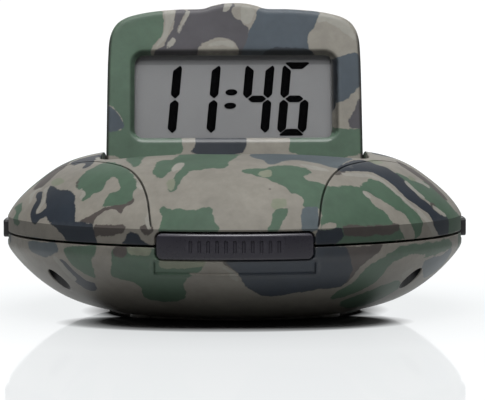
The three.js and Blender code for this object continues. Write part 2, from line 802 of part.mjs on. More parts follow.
let strap = alongY(arch, -5.25, -0.25)
  .add(box(MOTOR_X + 6.4, MOTOR_X + 10.8, -5.25, -0.25, MOTOR_Z, MOTOR_Z + 0.7))
  .add(box(MOTOR_X - 10.8, MOTOR_X - 6.4, -5.25, -0.25, MOTOR_Z, MOTOR_Z + 0.7));
for (const x of [MOTOR_X - 8.6, MOTOR_X + 8.6]) strap = strap.subtract(alongZ(circle(x, -2.75, 1.15, 8), 5, 15));
piece("motor_bracket", strap, paint.steel);
piece(
  "motor_lead",
  wire(
    [
      [MOTOR_X, -13.5, MOTOR_Z],
      [MOTOR_X, -16.5, MOTOR_Z + 1],
      [MOTOR_X - 1, -16.8, MOTOR_Z + 4],
      [MOTOR_X - 1, -15.5, PCB_Z0 - 0.5],
    ],
    0.6,
    7,
    6,
  ),
  paint.rubber,
);

// ---------------------------------------------------------------- speaker

piece(
  "speaker",
  turned(
    [
      [0, 8.4],
      [3.5, 8.0],
      [9.6, 6.9],
      [11.5, 6.9],
      [11.5, 8.2],
      [9.5, 9.6],
      [6.5, 10.2],
      [6.5, 13.2],
      [0, 13.2],
    ],
    18,
  ).translate([SPEAKER_X, 0, 0]),
  paint.black,
);
piece(
  "speaker_lead",
  wire(
    [
      [SPEAKER_X + 10.9, 0, 9.8],
      [SPEAKER_X + 11.6, -1, 12],
      [SPEAKER_X + 11, -2, 14.5],
      [SPEAKER_X + 9.5, -2, PCB_Z0 - 0.6],
    ],
    0.6,
    7,
    6,
  ),
  paint.rubber,
);

// ---------------------------------------------------------------- flip-up display, drawn upright on the hinge axis

// Straight front face over a round barrel; the rear face is the part of the dome that the folded
// panel fills, drawn in towards the barrel.
const H = DISPLAY_HALF;
const splitFront = 1.9;
const splitRear = 2.2;
const barrel = alongX(circle(0, 0, H, 24), -31.9, 31.9);
const frontHalf = box(-40, 40, -H - 1, splitFront, -10, 50);
const rearHalf = box(-40, 40, splitRear, H + 4, -10, 50);
const crown = topSolid.translate([0, -HINGE_Y, -HINGE_Z]).rotate([-90, 0, 0]);
const wedge = alongX(
  [
    [-H - 1, -10],
    [H, -10],
    [H, 0],
    [H + 1.2, 11],
    [H + 1.2, 50],
    [-H - 1, 50],
  ],
  -40,
  40,
);
let slab = null;
for (const [inset, y0, y1] of [
  [0.9, -H, -H + 0.35],
  [0.35, -H + 0.3, -H + 0.9],
  [0, -H + 0.85, H + 2],
]) {
  const layer = alongY(offset(outline(0), -inset), y0, y1);
  slab = slab ? slab.add(layer) : layer;
}
const panel = slab.add(barrel).intersect(crown).intersect(wedge);

const cavity = alongY(
  offset(outline(0.9), -1.9),
  -H + 1.4,
  splitFront + 1,
);
let bezel = panel.intersect(frontHalf).subtract(cavity);
for (const x of [-22, 22]) {
  bezel = bezel
    .add(alongY(circle(x, 34.5, 2.3, 12), -H + 0.9, splitFront))
    .subtract(alongY(circle(x, 34.5, 1.15, 8), -1.9, splitFront + 1));
}
// Window with a bevelled rim.
for (const [grow, y0, y1] of [
  [0, -H - 1, 0],
  [0.45, -H - 1, -H + 0.95],
  [0.95, -H - 1, -H + 0.45],
]) {
  bezel = bezel.subtract(
    alongY(
      roundRect(-WINDOW_HALF - grow, WINDOW_HALF + grow, WINDOW_LOW - grow, WINDOW_HIGH + grow, 2.4 + grow),
      y0,
      y1,
    ),
  );
}
bezel = bezel
  .subtract(alongX(circle(0, 0, 1.55, 12), 28, 40))
  .subtract(alongX(circle(0, 0, 1.85, 12), -40, -25.5))
  .subtract(box(-28.2, -25.6, -1.1, 1.1, 0, 3.5));
piece("display_bezel", bezel, paint.shell, flap);

let cover = panel.intersect(rearHalf);
cover = cover.subtract(
  alongY(
    offset(outline(0.9), -1.9),
    splitRear - 1,
    3.15,
  ).subtract(union(alongY(circle(-22, 34.5, 2.6, 12), 0, 4), alongY(circle(22, 34.5, 2.6, 12), 0, 4))),
);
for (const x of [-22, 22]) {
  cover = cover
    .subtract(alongY(circle(x, 34.5, 2.1, 14), 3.3, H + 1))
    .subtract(alongY(circle(x, 34.5, 1.15, 8), 0, 4));
}
piece("display_rear_cover", cover, paint.shell, flap);

piece("display_lens", alongY(roundRect(-27.2, 27.2, 4.9, 29.2, 1.5), -3.0, -2.05), paint.clear, flap);
piece("lcd_glass", alongY(roundRect(-27.8, 27.8, 5.0, 30.0, 0.4, 1), -1.75, 0), paint.glass, flap);
piece("lcd_light_guide", box(-25.5, 25.5, 0.3, 1.7, 8.0, 29.6), paint.white, flap);
piece("lcd_connector_strip", box(-25.5, 25.5, 0.3, 1.7, 5.4, 7.4), paint.rubber, flap);
piece("backlight_led", box(25.9, 27.4, 0.4, 1.6, 17, 20), paint.white, flap);
piece("display_pcb", box(-27.8, 27.8, 2.0, 2.8, 5.2, 30.2), paint.board, flap);
[-22, 22].forEach((x, i) => {
  const screw = union(
    alongY(circle(x, 34.5, 1.75, 12), 3.6, 4.45),
    alongY(circle(x, 34.5, 0.8, 8), -1.6, 3.8),
  )
    .subtract(box(x - 1.2, x + 1.2, 4.1, 6, 34.25, 34.75))
    .subtract(box(x - 0.25, x + 0.25, 4.1, 6, 33.3, 35.7));
  piece(`display_screw_${i + 1}`, screw, paint.steel, flap);
});
piece("hinge_pin_right", alongX(circle(0, 0, 1.25, 12), 28.4, 34.6), paint.steel, flap);
piece(
  "hinge_trunnion_left",
  alongX(circle(0, 0, 1.5, 12), -34.6, -28.6).subtract(alongX(circle(0, 0, 1.0, 12), -40, -20)),
  paint.steel,
  flap,
);

// Lead from the main board through the hollow trunnion.
piece(
  "display_lead",
  wire(
    [
      [-27.2, HINGE_Y, HINGE_Z],
      [-30, HINGE_Y, HINGE_Z],
      [-33, HINGE_Y, HINGE_Z],
      [-34.7, HINGE_Y, HINGE_Z],
      [-35.9, HINGE_Y - 0.2, HINGE_Z - 0.9],
      [-36.4, HINGE_Y - 0.6, HINGE_Z - 2.6],
      [-36.9, HINGE_Y - 1.6, HINGE_Z - 7],
      [-37.5, HINGE_Y - 3, PCB_Z1 + 0.7],
    ],
    0.55,
    16,
    6,
  ),
  paint.rubber,
);

export default clock;
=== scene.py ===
"""Looks of a flip-up digital alarm clock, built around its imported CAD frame.

Lengths in the builders below are millimetres; meshes are scaled to metres when they are made.
"""
import math

import bmesh
import bpy
import numpy as np
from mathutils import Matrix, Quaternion, Vector
from mathutils.geometry import delaunay_2d_cdt


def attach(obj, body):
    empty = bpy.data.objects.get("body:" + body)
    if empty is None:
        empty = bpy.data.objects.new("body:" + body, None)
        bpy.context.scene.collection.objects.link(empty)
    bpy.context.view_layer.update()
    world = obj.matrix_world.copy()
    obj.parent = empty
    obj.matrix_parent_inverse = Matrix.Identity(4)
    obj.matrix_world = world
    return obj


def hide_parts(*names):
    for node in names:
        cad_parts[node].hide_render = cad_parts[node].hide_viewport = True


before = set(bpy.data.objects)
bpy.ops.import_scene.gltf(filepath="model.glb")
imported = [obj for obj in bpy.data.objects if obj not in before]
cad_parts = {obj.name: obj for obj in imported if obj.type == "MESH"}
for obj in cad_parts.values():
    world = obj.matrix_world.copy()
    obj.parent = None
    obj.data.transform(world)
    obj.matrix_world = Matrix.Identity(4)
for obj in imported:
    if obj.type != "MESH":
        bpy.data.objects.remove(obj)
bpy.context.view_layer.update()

SEAM = 19.6  # height of the line where the two halves of the case meet
RIM_R = 55.1
CREASE_R, CREASE_Z = 55.03, 3.95  # edge where the dome meets the upright band, z from the seam
HINGE_Y, HINGE_Z = 17.5, 34.0
LEAN = math.radians(15)

# ------------------------------------------------------------------ small geometry kit


def bezier(points, n):
    p = np.array(points, float)
    t = np.linspace(0, 1, n)
    m = len(p) - 1
    return sum(
        math.comb(m, i) * (t**i * (1 - t) ** (m - i))[:, None] * p[i]
        for i in range(m + 1)
    )


def spline(points, closed=False, per=10):
    """Points along a centripetal curve through the given ones."""
    p = np.array(points, float)
    n = len(p)
    out = []
    for i in range(n if closed else n - 1):
        if closed:
            a, b, c, d = p[i - 1], p[i], p[(i + 1) % n], p[(i + 2) % n]
        else:
            b, c = p[i], p[i + 1]
            a = p[i - 1] if i else 2 * b - c
            d = p[i + 2] if i + 2 < n else 2 * c - b
        t0 = 0.0
        t1 = t0 + max(np.linalg.norm(b - a), 1e-9) ** 0.5
        t2 = t1 + max(np.linalg.norm(c - b), 1e-9) ** 0.5
        t3 = t2 + max(np.linalg.norm(d - c), 1e-9) ** 0.5
        for t in np.linspace(t1, t2, per, endpoint=False):
            a1 = (t1 - t) / (t1 - t0) * a + (t - t0) / (t1 - t0) * b
            a2 = (t2 - t) / (t2 - t1) * b + (t - t1) / (t2 - t1) * c
            a3 = (t3 - t) / (t3 - t2) * c + (t - t2) / (t3 - t2) * d
            b1 = (t2 - t) / (t2 - t0) * a1 + (t - t0) / (t2 - t0) * a2
            b2 = (t3 - t) / (t3 - t1) * a2 + (t - t1) / (t3 - t1) * a3
            out.append((t2 - t) / (t2 - t1) * b1 + (t - t1) / (t2 - t1) * b2)
    if not closed:
        out.append(p[-1])
    return np.array(out)


def resample(points, step, closed):
    p = np.array(points, float)
    if closed:
        p = np.vstack([p, p[:1]])
    s = np.concatenate([[0], np.cumsum(np.hypot(*np.diff(p, axis=0).T))])
    n = max(3, int(round(s[-1] / step)))
    t = np.linspace(0, s[-1], n + 1)
    q = np.c_[np.interp(t, s, p[:, 0]), np.interp(t, s, p[:, 1])]
    return q[:-1] if closed else q


def offset_loop(points, d):
    """Grows an anticlockwise closed loop by d, or shrinks it where d is negative."""
    p = np.array(points, float)
    t = np.roll(p, -1, 0) - np.roll(p, 1, 0)
    t /= np.maximum(np.hypot(*t.T), 1e-12)[:, None]
    return p + d * np.c_[t[:, 1], -t[:, 0]]


def offset_path(points, d):
    """Moves an open path to its left by d."""
    p = np.array(points, float)
    t = np.gradient(p, axis=0)
    t[0], t[-1] = p[1] - p[0], p[-1] - p[-2]
    t /= np.maximum(np.hypot(*t.T), 1e-12)[:, None]
    return p + d * np.c_[-t[:, 1], t[:, 0]]


def inside(points, loop):
    x, y = np.asarray(points, float).T
    a = np.asarray(loop, float)
    b = np.roll(a, -1, 0)
    hit = np.zeros(len(x), bool)
    for (x0, y0), (x1, y1) in zip(a, b):
        if y0 == y1:
            continue
        cross = (y0 > y) != (y1 > y)
        hit ^= cross & (x < (x1 - x0) * (y - y0) / (y1 - y0) + x0)
    return hit


def distance(points, line, closed):
    p = np.asarray(points, float)
    a = np.asarray(line, float)
    b = np.roll(a, -1, 0) if closed else a[1:]
    a = a if closed else a[:-1]
    best = np.full(len(p), 1e9)
    for q0, q1 in zip(a, b):
        d = q1 - q0
        l2 = max(float(d @ d), 1e-12)
        t = np.clip(((p - q0) @ d) / l2, 0, 1)
        best = np.minimum(best, np.hypot(*(p - q0 - t[:, None] * d).T))
    return best


def rounded(x0, x1, y0, y1, r, n=8):
    """Anticlockwise rounded rectangle."""
    out = []
    for cx, cy, a in ((x1 - r, y0 + r, -90), (x1 - r, y1 - r, 0), (x0 + r, y1 - r, 90), (x0 + r, y0 + r, 180)):
        for i in range(n + 1):
            t = math.radians(a + 90 * i / n)
            out.append((cx + r * math.cos(t), cy + r * math.sin(t)))
    return np.array(out)


def ring(cx, cy, r, n):
    t = np.arange(n) / n * 2 * math.pi
    return np.c_[cx + r * np.cos(t), cy + r * np.sin(t)]


def smooth(t):
    t = np.clip(t, 0, 1)
    return t * t * (3 - 2 * t)


def field(loops, paths, fill, keep):
    """Triangles over a flat region. loops are closed and paths open lines that stay as edges, fill is the free points,
    keep says which triangle centres belong to the region. Returns points, triangles and the new index of each loop's points."""
    pts, edges, spans = [], [], []
    n = 0
    for line, closed in [(l, True) for l in loops] + [(l, False) for l in paths]:
        m = len(line)
        pts.extend(map(tuple, line))
        edges += [(n + i, n + (i + 1) % m) for i in range(m if closed else m - 1)]
        if closed:
            spans.append((n, m))
        n += m
    pts.extend(map(tuple, fill))
    vs, _, fs, ov, _, _ = delaunay_2d_cdt([Vector(p) for p in pts], edges, [], 0, 1e-7, True)
    xy = np.array([(v.x, v.y) for v in vs])
    where = {}
    for new, olds in enumerate(ov):
        for old in olds:
            where[old] = new
    tri = np.array([f for f in fs if len(f) == 3])
    mid = xy[tri].mean(1)
    tri = tri[keep(mid)]
    return xy, tri, [[where[a + i] for i in range(m)] for a, m in spans]


class Skin:
    """Vertices and faces of one piece, in millimetres."""

    def __init__(self):
        self.v, self.f = [], []

    def add(self, pts):
        n = len(self.v)
        self.v.extend(tuple(map(float, p)) for p in pts)
        return list(range(n, len(self.v)))

    def bridge(self, a, b, closed=True):
        n = len(a)
        for i in range(n if closed else n - 1):
            j = (i + 1) % n
            self.f.append((a[i], a[j], b[j], b[i]))

    def sheet(self, pts, tri):
        ids = self.add(pts)
        self.f.extend((ids[a], ids[b], ids[c]) for a, b, c in tri)
        return ids

    def cap(self, loop):
        self.f.append(tuple(loop))


def make(name, skin, mat, body, nodes=(), sharp=38, solid=None, weld=0.004, flip=None):
    me = bpy.data.meshes.new(name)
    bm = bmesh.new()
    vs = [bm.verts.new((x * 0.001, y * 0.001, z * 0.001)) for x, y, z in skin.v]
    for f in skin.f:
        if len(set(f)) == len(f):
            try:
                bm.faces.new([vs[i] for i in f])
            except ValueError:
                pass
    bmesh.ops.remove_doubles(bm, verts=bm.verts, dist=weld * 0.001)
    bmesh.ops.dissolve_degenerate(bm, edges=bm.edges, dist=1e-7)
    loose = [v for v in bm.verts if not v.link_faces]
    bmesh.ops.delete(bm, geom=loose, context="VERTS")
    bmesh.ops.recalc_face_normals(bm, faces=bm.faces)
    if flip is not None:
        bm.faces.ensure_lookup_table()
        far = max(bm.faces, key=lambda f: f.calc_center_median().dot(flip))
        if far.normal.dot(flip) < 0:
            bmesh.ops.reverse_faces(bm, faces=bm.faces)
    bm.to_mesh(me)
    bm.free()
    me.polygons.foreach_set("use_smooth", [True] * len(me.polygons))
    me.set_sharp_from_angle(angle=math.radians(sharp))
    ob = bpy.data.objects.new(name, me)
    bpy.context.scene.collection.objects.link(ob)
    me.materials.append(mat)
    if solid:
        mod = ob.modifiers.new("thickness", "SOLIDIFY")
        mod.thickness = solid * 0.001
        mod.offset = -1
        mod.use_even_offset = False
    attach(ob, body)
    if nodes:
        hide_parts(*nodes)
    return ob


def pad(skin, loop, place, fillet=0.4, depth=1.0, height=None, step=0.6, paths=(), steps=4, floor=True, drop=None):
    """A raised flat-backed part: a face over an anticlockwise loop with rounded edges, side walls and a back.
    place(p, q, h) gives the point in space and h is the height above the face's own level."""
    h = height or (lambda p, q: np.zeros(len(p)))
    inner = offset_loop(loop, -fillet)
    lo, hi = inner.min(0), inner.max(0)
    gx, gy = np.meshgrid(np.arange(lo[0], hi[0], step), np.arange(lo[1], hi[1], step * 0.87))
    gx[1::2] += step / 2
    grid = np.c_[gx.ravel(), gy.ravel()]
    grid = grid[inside(grid, inner)]
    grid = grid[distance(grid, inner, True) > step * 0.45]
    for line in paths:
        grid = grid[distance(grid, line, False) > step * 0.35]
    xy, tri, spans = field([inner], paths, grid, lambda m: inside(m, inner))
    ids = skin.sheet(place(xy[:, 0], xy[:, 1], h(xy[:, 0], xy[:, 1])), tri)
    last = [ids[i] for i in spans[0]]
    for k in range(1, steps + 1):
        a = math.pi / 2 * k / steps
        out = offset_loop(loop, -fillet * (1 - math.sin(a)))
        level = h(inner[:, 0], inner[:, 1]) - fillet * (1 - math.cos(a))
        new = skin.add(place(out[:, 0], out[:, 1], level))
        skin.bridge(last, new)
        last = new
    base = np.array(loop)
    new = skin.add(place(base[:, 0], base[:, 1], np.full(len(base), -depth)))
    skin.bridge(last, new)
    if floor:
        skin.cap(new)
    return new


# ------------------------------------------------------------------ case profiles

TOP = bezier([[CREASE_R, CREASE_Z], [50.64, 12.74], [41.93, 13.13], [44.09, 18.71], [36.32, 20.1], [0, 20.1]], 900)
LOW = bezier([[55.1, -2.1], [55.1, -3.6], [56.2, -2.64], [46.49, -15.87], [40.25, -16.51], [31.2, -18.55]], 700)
LOW = np.vstack([[[55.1, -0.2]], LOW])


def along(profile):
    return np.concatenate([[0], np.cumsum(np.hypot(*np.diff(profile, axis=0).T))])


TOP_S = along(TOP)
LOW_S = along(LOW)
TOP_LEN = TOP_S[-1] + 3.75  # from the apex out to the seam edge
LOW_LEN = LOW_S[-1] + 31.2


def top_z(r):
    return SEAM + np.interp(r, TOP[::-1, 0], TOP[::-1, 1])


def top_run(r):
    """Distance over the dome from its apex."""
    return np.interp(r, TOP[::-1, 0], (TOP_S[-1] - TOP_S)[::-1])


def low_at(s):
    return np.interp(s, LOW_S, LOW[:, 0]), np.interp(s, LOW_S, LOW[:, 1])


def low_s_of_r(r):
    return np.interp(r, LOW[:0:-1, 0], LOW_S[:0:-1])


def low_s_of_z(z):
    return np.interp(z, LOW[::-1, 1], LOW_S[::-1])


# ------------------------------------------------------------------ camouflage print

# Outlines of the printed patches, drawn in millimetres: on the two halves of the case in the
# plane that the half unrolls to about its pole, on the display across and up its front.
PATCHES = {
    "top": {
        "green": [
            [(-38.2,-30.3),(-37.8,-27.9),(-36.7,-26.8),(-35.1,-24.8),(-33.6,-24.3),(-31.9,-22.7),(-29.9,-22.6),(-27.9,-25.6),(-25.9,-30.5),(-24.3,-34.8),(-23.2,-38.8),(-23.0,-41.8),(-23.6,-43.5),(-24.2,-44.7),(-24.1,-46.6),(-25.1,-47.5),(-26.2,-47.7),(-27.4,-46.7),(-28.9,-46.2),(-30.4,-45.3),(-31.7,-44.9),(-32.5,-44.7),(-31.8,-43.3),(-30.9,-42.0),(-29.8,-41.1),(-28.0,-41.0),(-27.2,-40.3),(-27.3,-38.1),(-28.0,-35.4),(-28.9,-33.7),(-29.7,-34.6),(-30.6,-36.3),(-31.5,-38.3),(-32.8,-38.6),(-34.1,-38.0),(-34.9,-39.0),(-36.0,-39.0),(-37.1,-38.5),(-36.7,-36.7),(-36.1,-35.4),(-37.0,-33.6),(-38.0,-32.1)],
            [(-25.2,-20.2),(-23.8,-18.6),(-22.2,-18.9),(-20.9,-22.5),(-21.7,-26.9),(-22.6,-32.0),(-23.5,-32.2),(-24.5,-29.2),(-25.3,-24.4)],
            [(-19.0,-37.6),(-18.5,-34.9),(-17.9,-31.2),(-16.3,-29.8),(-14.8,-30.4),(-13.7,-26.8),(-12.6,-21.8),(-8.1,-22.0),(-3.0,-21.7),(1.3,-21.9),(0.3,-30.8),(-1.1,-35.2),(-1.8,-38.3),(-3.1,-39.8),(-5.2,-39.3),(-7.3,-39.8),(-9.9,-40.1),(-11.3,-41.7),(-12.8,-44.2),(-13.8,-46.8),(-14.8,-47.3),(-16.0,-46.6),(-15.2,-44.6),(-14.4,-42.1),(-13.1,-39.8),(-12.2,-37.2),(-13.6,-37.4),(-15.3,-39.6),(-16.5,-41.4),(-17.9,-41.3),(-18.6,-39.2)],
            [(-17.9,-52.0),(-16.9,-51.8),(-15.5,-53.0),(-13.6,-53.2),(-11.7,-54.1),(-9.3,-54.2),(-6.9,-54.1),(-5.2,-54.4),(-5.2,-56.3),(-4.6,-58.0),(-3.9,-59.8),(-4.4,-60.6),(-18.9,-57.9),(-18.3,-56.2),(-17.6,-54.2)],
            [(-57.2,-9.7),(-54.5,-13.8),(-54.3,-19.9),(-56.0,-20.2),(-56.1,-23.7),(-58.4,-20.8),(-58.5,-17.3),(-56.5,-16.7)],
            [(1.2,-41.0),(3.6,-39.8),(6.3,-39.5),(8.7,-37.6),(11.7,-36.2),(15.2,-36.5),(16.6,-36.6),(18.0,-38.3),(16.6,-40.7),(16.7,-42.3),(19.6,-42.0),(21.5,-42.4),(24.0,-42.0),(26.4,-39.9),(29.1,-39.0),(30.5,-36.7),(32.2,-33.0),(34.7,-31.7),(36.6,-32.5),(38.8,-33.2),(40.9,-34.1),(43.3,-35.1),(45.2,-35.6),(47.0,-36.0),(48.6,-37.3),(48.8,-41.7),(22.4,-60.1),(20.3,-51.1),(16.6,-51.9),(16.5,-49.4),(14.7,-48.1),(13.1,-48.2),(12.1,-46.7),(10.6,-45.6),(8.7,-44.8),(7.3,-43.8),(5.4,-43.3),(3.6,-42.6)],
            [(9.2,-55.3),(10.1,-53.9),(11.6,-53.5),(12.8,-53.5),(12.6,-55.8),(11.8,-57.6),(11.2,-59.5),(8.2,-60.1),(8.8,-58.1)],
            [(38.7,-22.2),(40.9,-21.1),(42.6,-20.6),(44.6,-19.4),(46.4,-14.8),(48.5,-13.5),(50.7,-13.9),(53.0,-14.6),(55.1,-15.1),(57.5,-14.1),(61.0,-9.0),(63.1,-9.5),(60.1,-22.0),(58.2,-26.0),(54.9,-25.1),(52.2,-26.1),(49.7,-26.3),(47.5,-26.3),(45.1,-26.3),(42.7,-24.7),(40.7,-23.6)],
        ],
        "olive": [
            [(8.8,-51.4),(10.3,-50.5),(12.2,-50.5),(12.5,-52.6),(10.8,-53.6),(9.4,-54.4),(8.7,-53.3)],
            [(6.3,-40.9),(8.2,-40.1),(8.4,-42.8),(6.8,-43.5),(5.7,-42.8)],
            [(-15.6,-42.9),(-14.1,-42.2),(-14.0,-45.3),(-14.8,-46.9),(-15.7,-46.3)],
            [(-44.7,-17.5),(-42.9,-18.3),(-41.3,-24.0),(-43.0,-23.5),(-44.4,-21.2)],
            [(32.0,-19.0),(34.3,-15.9),(35.7,-17.6),(33.6,-22.0),(32.1,-22.3)],
            [(42.6,-18.2),(44.0,-17.2),(43.8,-20.2),(42.3,-21.1)],
        ],
        "tan": [
            [(16.4,-52.0),(14.9,-51.5),(13.2,-52.8),(12.8,-54.7),(12.5,-57.0),(12.2,-59.3),(16.0,-58.7),(16.2,-56.4),(16.0,-53.9)],
            [(30.4,-39.8),(31.9,-39.2),(33.6,-39.7),(35.5,-39.9),(37.4,-39.9),(39.4,-40.2),(41.5,-39.8),(43.1,-40.1),(44.9,-40.9),(46.9,-41.2),(48.4,-41.9),(45.6,-45.0),(43.4,-44.5),(41.2,-44.3),(39.6,-44.6),(38.2,-44.0),(36.6,-43.2),(34.7,-43.2),(33.5,-42.5),(32.1,-41.5)],
            [(21.1,-56.2),(22.2,-55.1),(23.7,-54.2),(25.0,-53.9),(24.6,-55.1),(23.2,-56.1),(21.5,-56.8)],
            [(19.6,-42.0),(17.2,-42.2),(16.6,-40.9),(18.3,-38.4),(16.6,-36.9),(20.4,-36.1),(23.3,-36.2),(26.2,-34.0),(29.6,-32.3),(32.6,-30.3),(34.9,-30.2),(37.1,-31.0),(39.1,-32.0),(41.1,-33.1),(43.2,-33.9),(45.0,-34.1),(46.9,-33.8),(49.0,-33.6),(51.1,-33.7),(54.3,-32.4),(55.2,-32.8),(52.2,-37.3),(51.4,-35.2),(48.4,-35.8),(46.2,-35.5),(43.8,-35.5),(41.7,-35.1),(39.6,-34.2),(37.6,-33.1),(35.8,-32.2),(33.9,-31.9),(32.1,-32.5),(30.4,-34.9),(29.0,-37.5),(27.8,-38.1),(26.3,-38.0),(24.9,-39.7),(22.5,-41.9)],
        ],
        "slate": [
            [(15.9,-53.0),(16.6,-52.1),(18.3,-51.4),(20.0,-51.1),(20.6,-56.1),(20.8,-57.3),(16.5,-58.6),(16.4,-56.3)],
            [(3.6,-26.0),(5.0,-22.9),(9.6,-21.1),(15.5,-19.3),(20.2,-19.2),(25.0,-19.8),(27.8,-20.6),(25.7,-28.0),(24.2,-32.8),(22.3,-33.3),(19.9,-32.4),(17.1,-31.9),(14.3,-31.0),(11.5,-32.9),(9.4,-36.0),(7.7,-36.3),(6.4,-32.8),(4.5,-30.7)],
            [(-52.6,-36.8),(-59.6,-23.8),(-53.3,-35.8),(-51.7,-38.0)],
        ],
        "brown": [
            [(-39.1,-44.7),(-37.4,-45.0),(-35.7,-45.3),(-33.7,-45.3),(-32.0,-45.0),(-30.2,-45.6),(-28.4,-46.2),(-26.6,-46.8),(-25.1,-46.5),(-24.0,-45.6),(-24.1,-47.0),(-25.4,-48.0),(-26.7,-48.1),(-27.6,-49.2),(-28.3,-48.2),(-29.8,-46.8),(-31.3,-46.2),(-33.0,-46.5),(-34.5,-47.1),(-35.3,-48.1),(-37.1,-46.5)],
            [(-50.5,-12.0),(-48.5,-6.5),(-46.3,-3.5),(-43.7,-3.1),(-41.3,-1.6),(-39.2,3.4),(-40.4,-9.7),(-42.4,-12.5),(-44.4,-14.3),(-46.1,-16.1),(-47.9,-16.6)],
            [(39.4,-6.9),(41.2,-7.1),(43.5,-6.7),(45.1,-7.2),(47.5,-7.8),(49.9,-9.3),(52.4,-11.1),(54.4,-13.5),(52.6,-15.5),(50.3,-14.8),(47.9,-14.1),(44.9,-14.2),(42.1,-13.5),(40.0,-12.2)],
            [(-35.2,-48.8),(-33.6,-49.5),(-30.5,-51.3),(-26.9,-53.4),(-28.6,-54.5),(-32.1,-53.4),(-35.3,-51.5),(-36.9,-51.5)],
            [(-37.0,-28.3),(-37.7,-29.8),(-37.5,-32.1),(-38.1,-30.9),(-38.1,-28.2)],
            [(23.7,-34.9),(25.2,-33.5),(26.2,-34.0),(25.0,-36.2),(23.5,-37.1)],
            [(48.8,-26.6),(50.0,-25.2),(50.7,-26.3),(49.6,-28.1)],
            [(26.8,-53.7),(29.1,-52.3),(34.3,-49.4),(39.5,-45.4),(41.6,-44.2),(42.2,-45.5),(35.0,-51.9),(29.6,-54.9),(27.5,-55.4)],
            [(7.8,-47.8),(9.0,-47.3),(8.8,-48.2)],
            [(-23.4,-54.9),(-20.4,-56.0),(-20.5,-57.5),(-22.6,-57.7),(-23.6,-56.6)],
        ],
        "navy": [
            [(-46.4,-18.9),(-44.7,-21.4),(-43.1,-25.9),(-41.5,-28.7),(-39.9,-31.1),(-39.0,-33.6),(-38.9,-36.5),(-39.1,-39.7),(-39.6,-42.2),(-40.2,-43.5),(-41.4,-43.1),(-44.1,-40.6),(-46.3,-38.3),(-47.5,-35.8),(-47.3,-33.1),(-46.7,-29.0),(-46.7,-24.9)],
            [(-49.5,-20.6),(-49.0,-18.1),(-48.0,-19.5),(-47.6,-23.4),(-48.2,-26.2),(-49.3,-27.4),(-50.2,-28.0),(-50.2,-29.5),(-48.7,-30.8),(-47.6,-30.8),(-46.7,-31.0),(-47.0,-33.4),(-48.1,-33.8),(-49.4,-33.0),(-50.9,-33.2),(-52.1,-31.4),(-52.0,-28.8),(-51.5,-25.9),(-50.7,-24.4),(-49.6,-23.2)],
            [(-47.4,-35.5),(-46.3,-38.3),(-39.7,-44.2),(-37.1,-46.5),(-35.3,-48.0),(-36.1,-50.4),(-36.6,-52.8),(-44.2,-46.6),(-45.6,-42.5),(-45.7,-40.3),(-46.7,-38.3)],
            [(-27.3,-55.3),(-25.6,-55.7),(-24.0,-56.7),(-24.0,-58.2),(-21.9,-60.3),(-26.0,-58.7),(-29.6,-56.5),(-28.1,-56.2)],
            [(-39.9,-7.3),(-38.7,-0.7),(-36.0,-4.3),(-33.6,-4.6),(-30.6,9.0),(-30.2,-15.1),(-32.2,-13.3),(-33.3,-16.0),(-33.7,-20.6),(-34.9,-21.9),(-36.2,-21.5),(-35.5,-18.1),(-37.1,-14.8),(-38.6,-14.4)],
            [(25.7,-28.9),(27.7,-24.5),(30.2,-20.9),(33.4,-21.8),(35.9,-21.4),(37.7,-22.2),(39.3,-22.9),(41.0,-23.9),(43.0,-25.5),(44.5,-27.1),(46.0,-27.8),(48.2,-27.5),(49.9,-27.9),(52.3,-26.9),(54.7,-24.3),(58.4,-26.1),(55.9,-31.3),(52.0,-33.0),(50.3,-32.4),(48.7,-32.2),(46.1,-32.8),(44.0,-33.0),(41.6,-32.8),(39.9,-31.7),(38.2,-30.4),(36.5,-29.4),(34.6,-29.1),(32.6,-29.1),(30.1,-30.7),(27.1,-32.7),(24.7,-34.6),(24.2,-32.8)],
            [(20.6,-56.9),(22.2,-56.6),(24.7,-55.4),(26.7,-54.3),(28.0,-55.7),(26.2,-58.6),(21.3,-60.5)],
        ],
        "pale": [
            [(-46.7,-19.2),(-45.3,-20.0),(-45.9,-22.2),(-46.4,-25.3),(-47.2,-27.7),(-48.5,-29.1),(-49.6,-30.0),(-50.0,-29.3),(-49.2,-28.1),(-48.1,-26.4),(-47.3,-23.9)],
            [(-51.4,-15.6),(-50.1,-14.1),(-48.9,-14.9),(-47.3,-17.5),(-47.9,-18.3),(-49.2,-16.5),(-50.1,-17.8),(-50.8,-20.2),(-51.5,-21.0)],
            [(-37.3,-32.8),(-36.5,-34.1),(-36.1,-36.3),(-37.1,-38.1),(-37.5,-36.9),(-37.1,-35.4)],
            [(-14.5,-37.1),(-13.1,-33.9),(-11.8,-34.4),(-12.2,-37.8),(-13.6,-39.1),(-14.3,-39.4)],
            [(24.7,-35.4),(27.1,-33.8),(30.1,-32.1),(32.6,-30.5),(34.9,-30.5),(37.1,-31.5),(39.1,-32.5),(41.1,-33.3),(43.2,-34.1),(44.8,-34.4),(44.2,-35.2),(42.4,-35.0),(40.3,-34.4),(38.3,-33.4),(36.4,-32.4),(34.2,-31.9),(32.1,-31.9),(29.6,-34.1),(27.2,-35.5),(25.5,-36.0)],
            [(45.4,-34.2),(46.9,-33.6),(49.0,-33.6),(51.6,-33.4),(55.0,-32.2),(54.1,-34.4),(50.6,-35.2),(48.0,-35.7),(45.9,-35.7)],
            [(41.5,-23.7),(43.3,-24.5),(45.0,-25.4),(46.8,-25.8),(46.6,-27.3),(44.5,-27.3),(42.8,-26.8),(41.3,-25.4)],
            [(44.9,-16.2),(47.0,-15.3),(48.3,-15.0),(47.9,-17.4),(46.1,-18.2),(44.3,-19.5)],
            [(50.1,-26.3),(52.1,-25.2),(54.3,-24.0),(53.7,-25.6),(51.6,-27.1),(49.9,-27.7)],
            [(30.4,-39.8),(31.7,-39.7),(32.9,-41.0),(32.1,-41.5),(31.0,-40.9)],
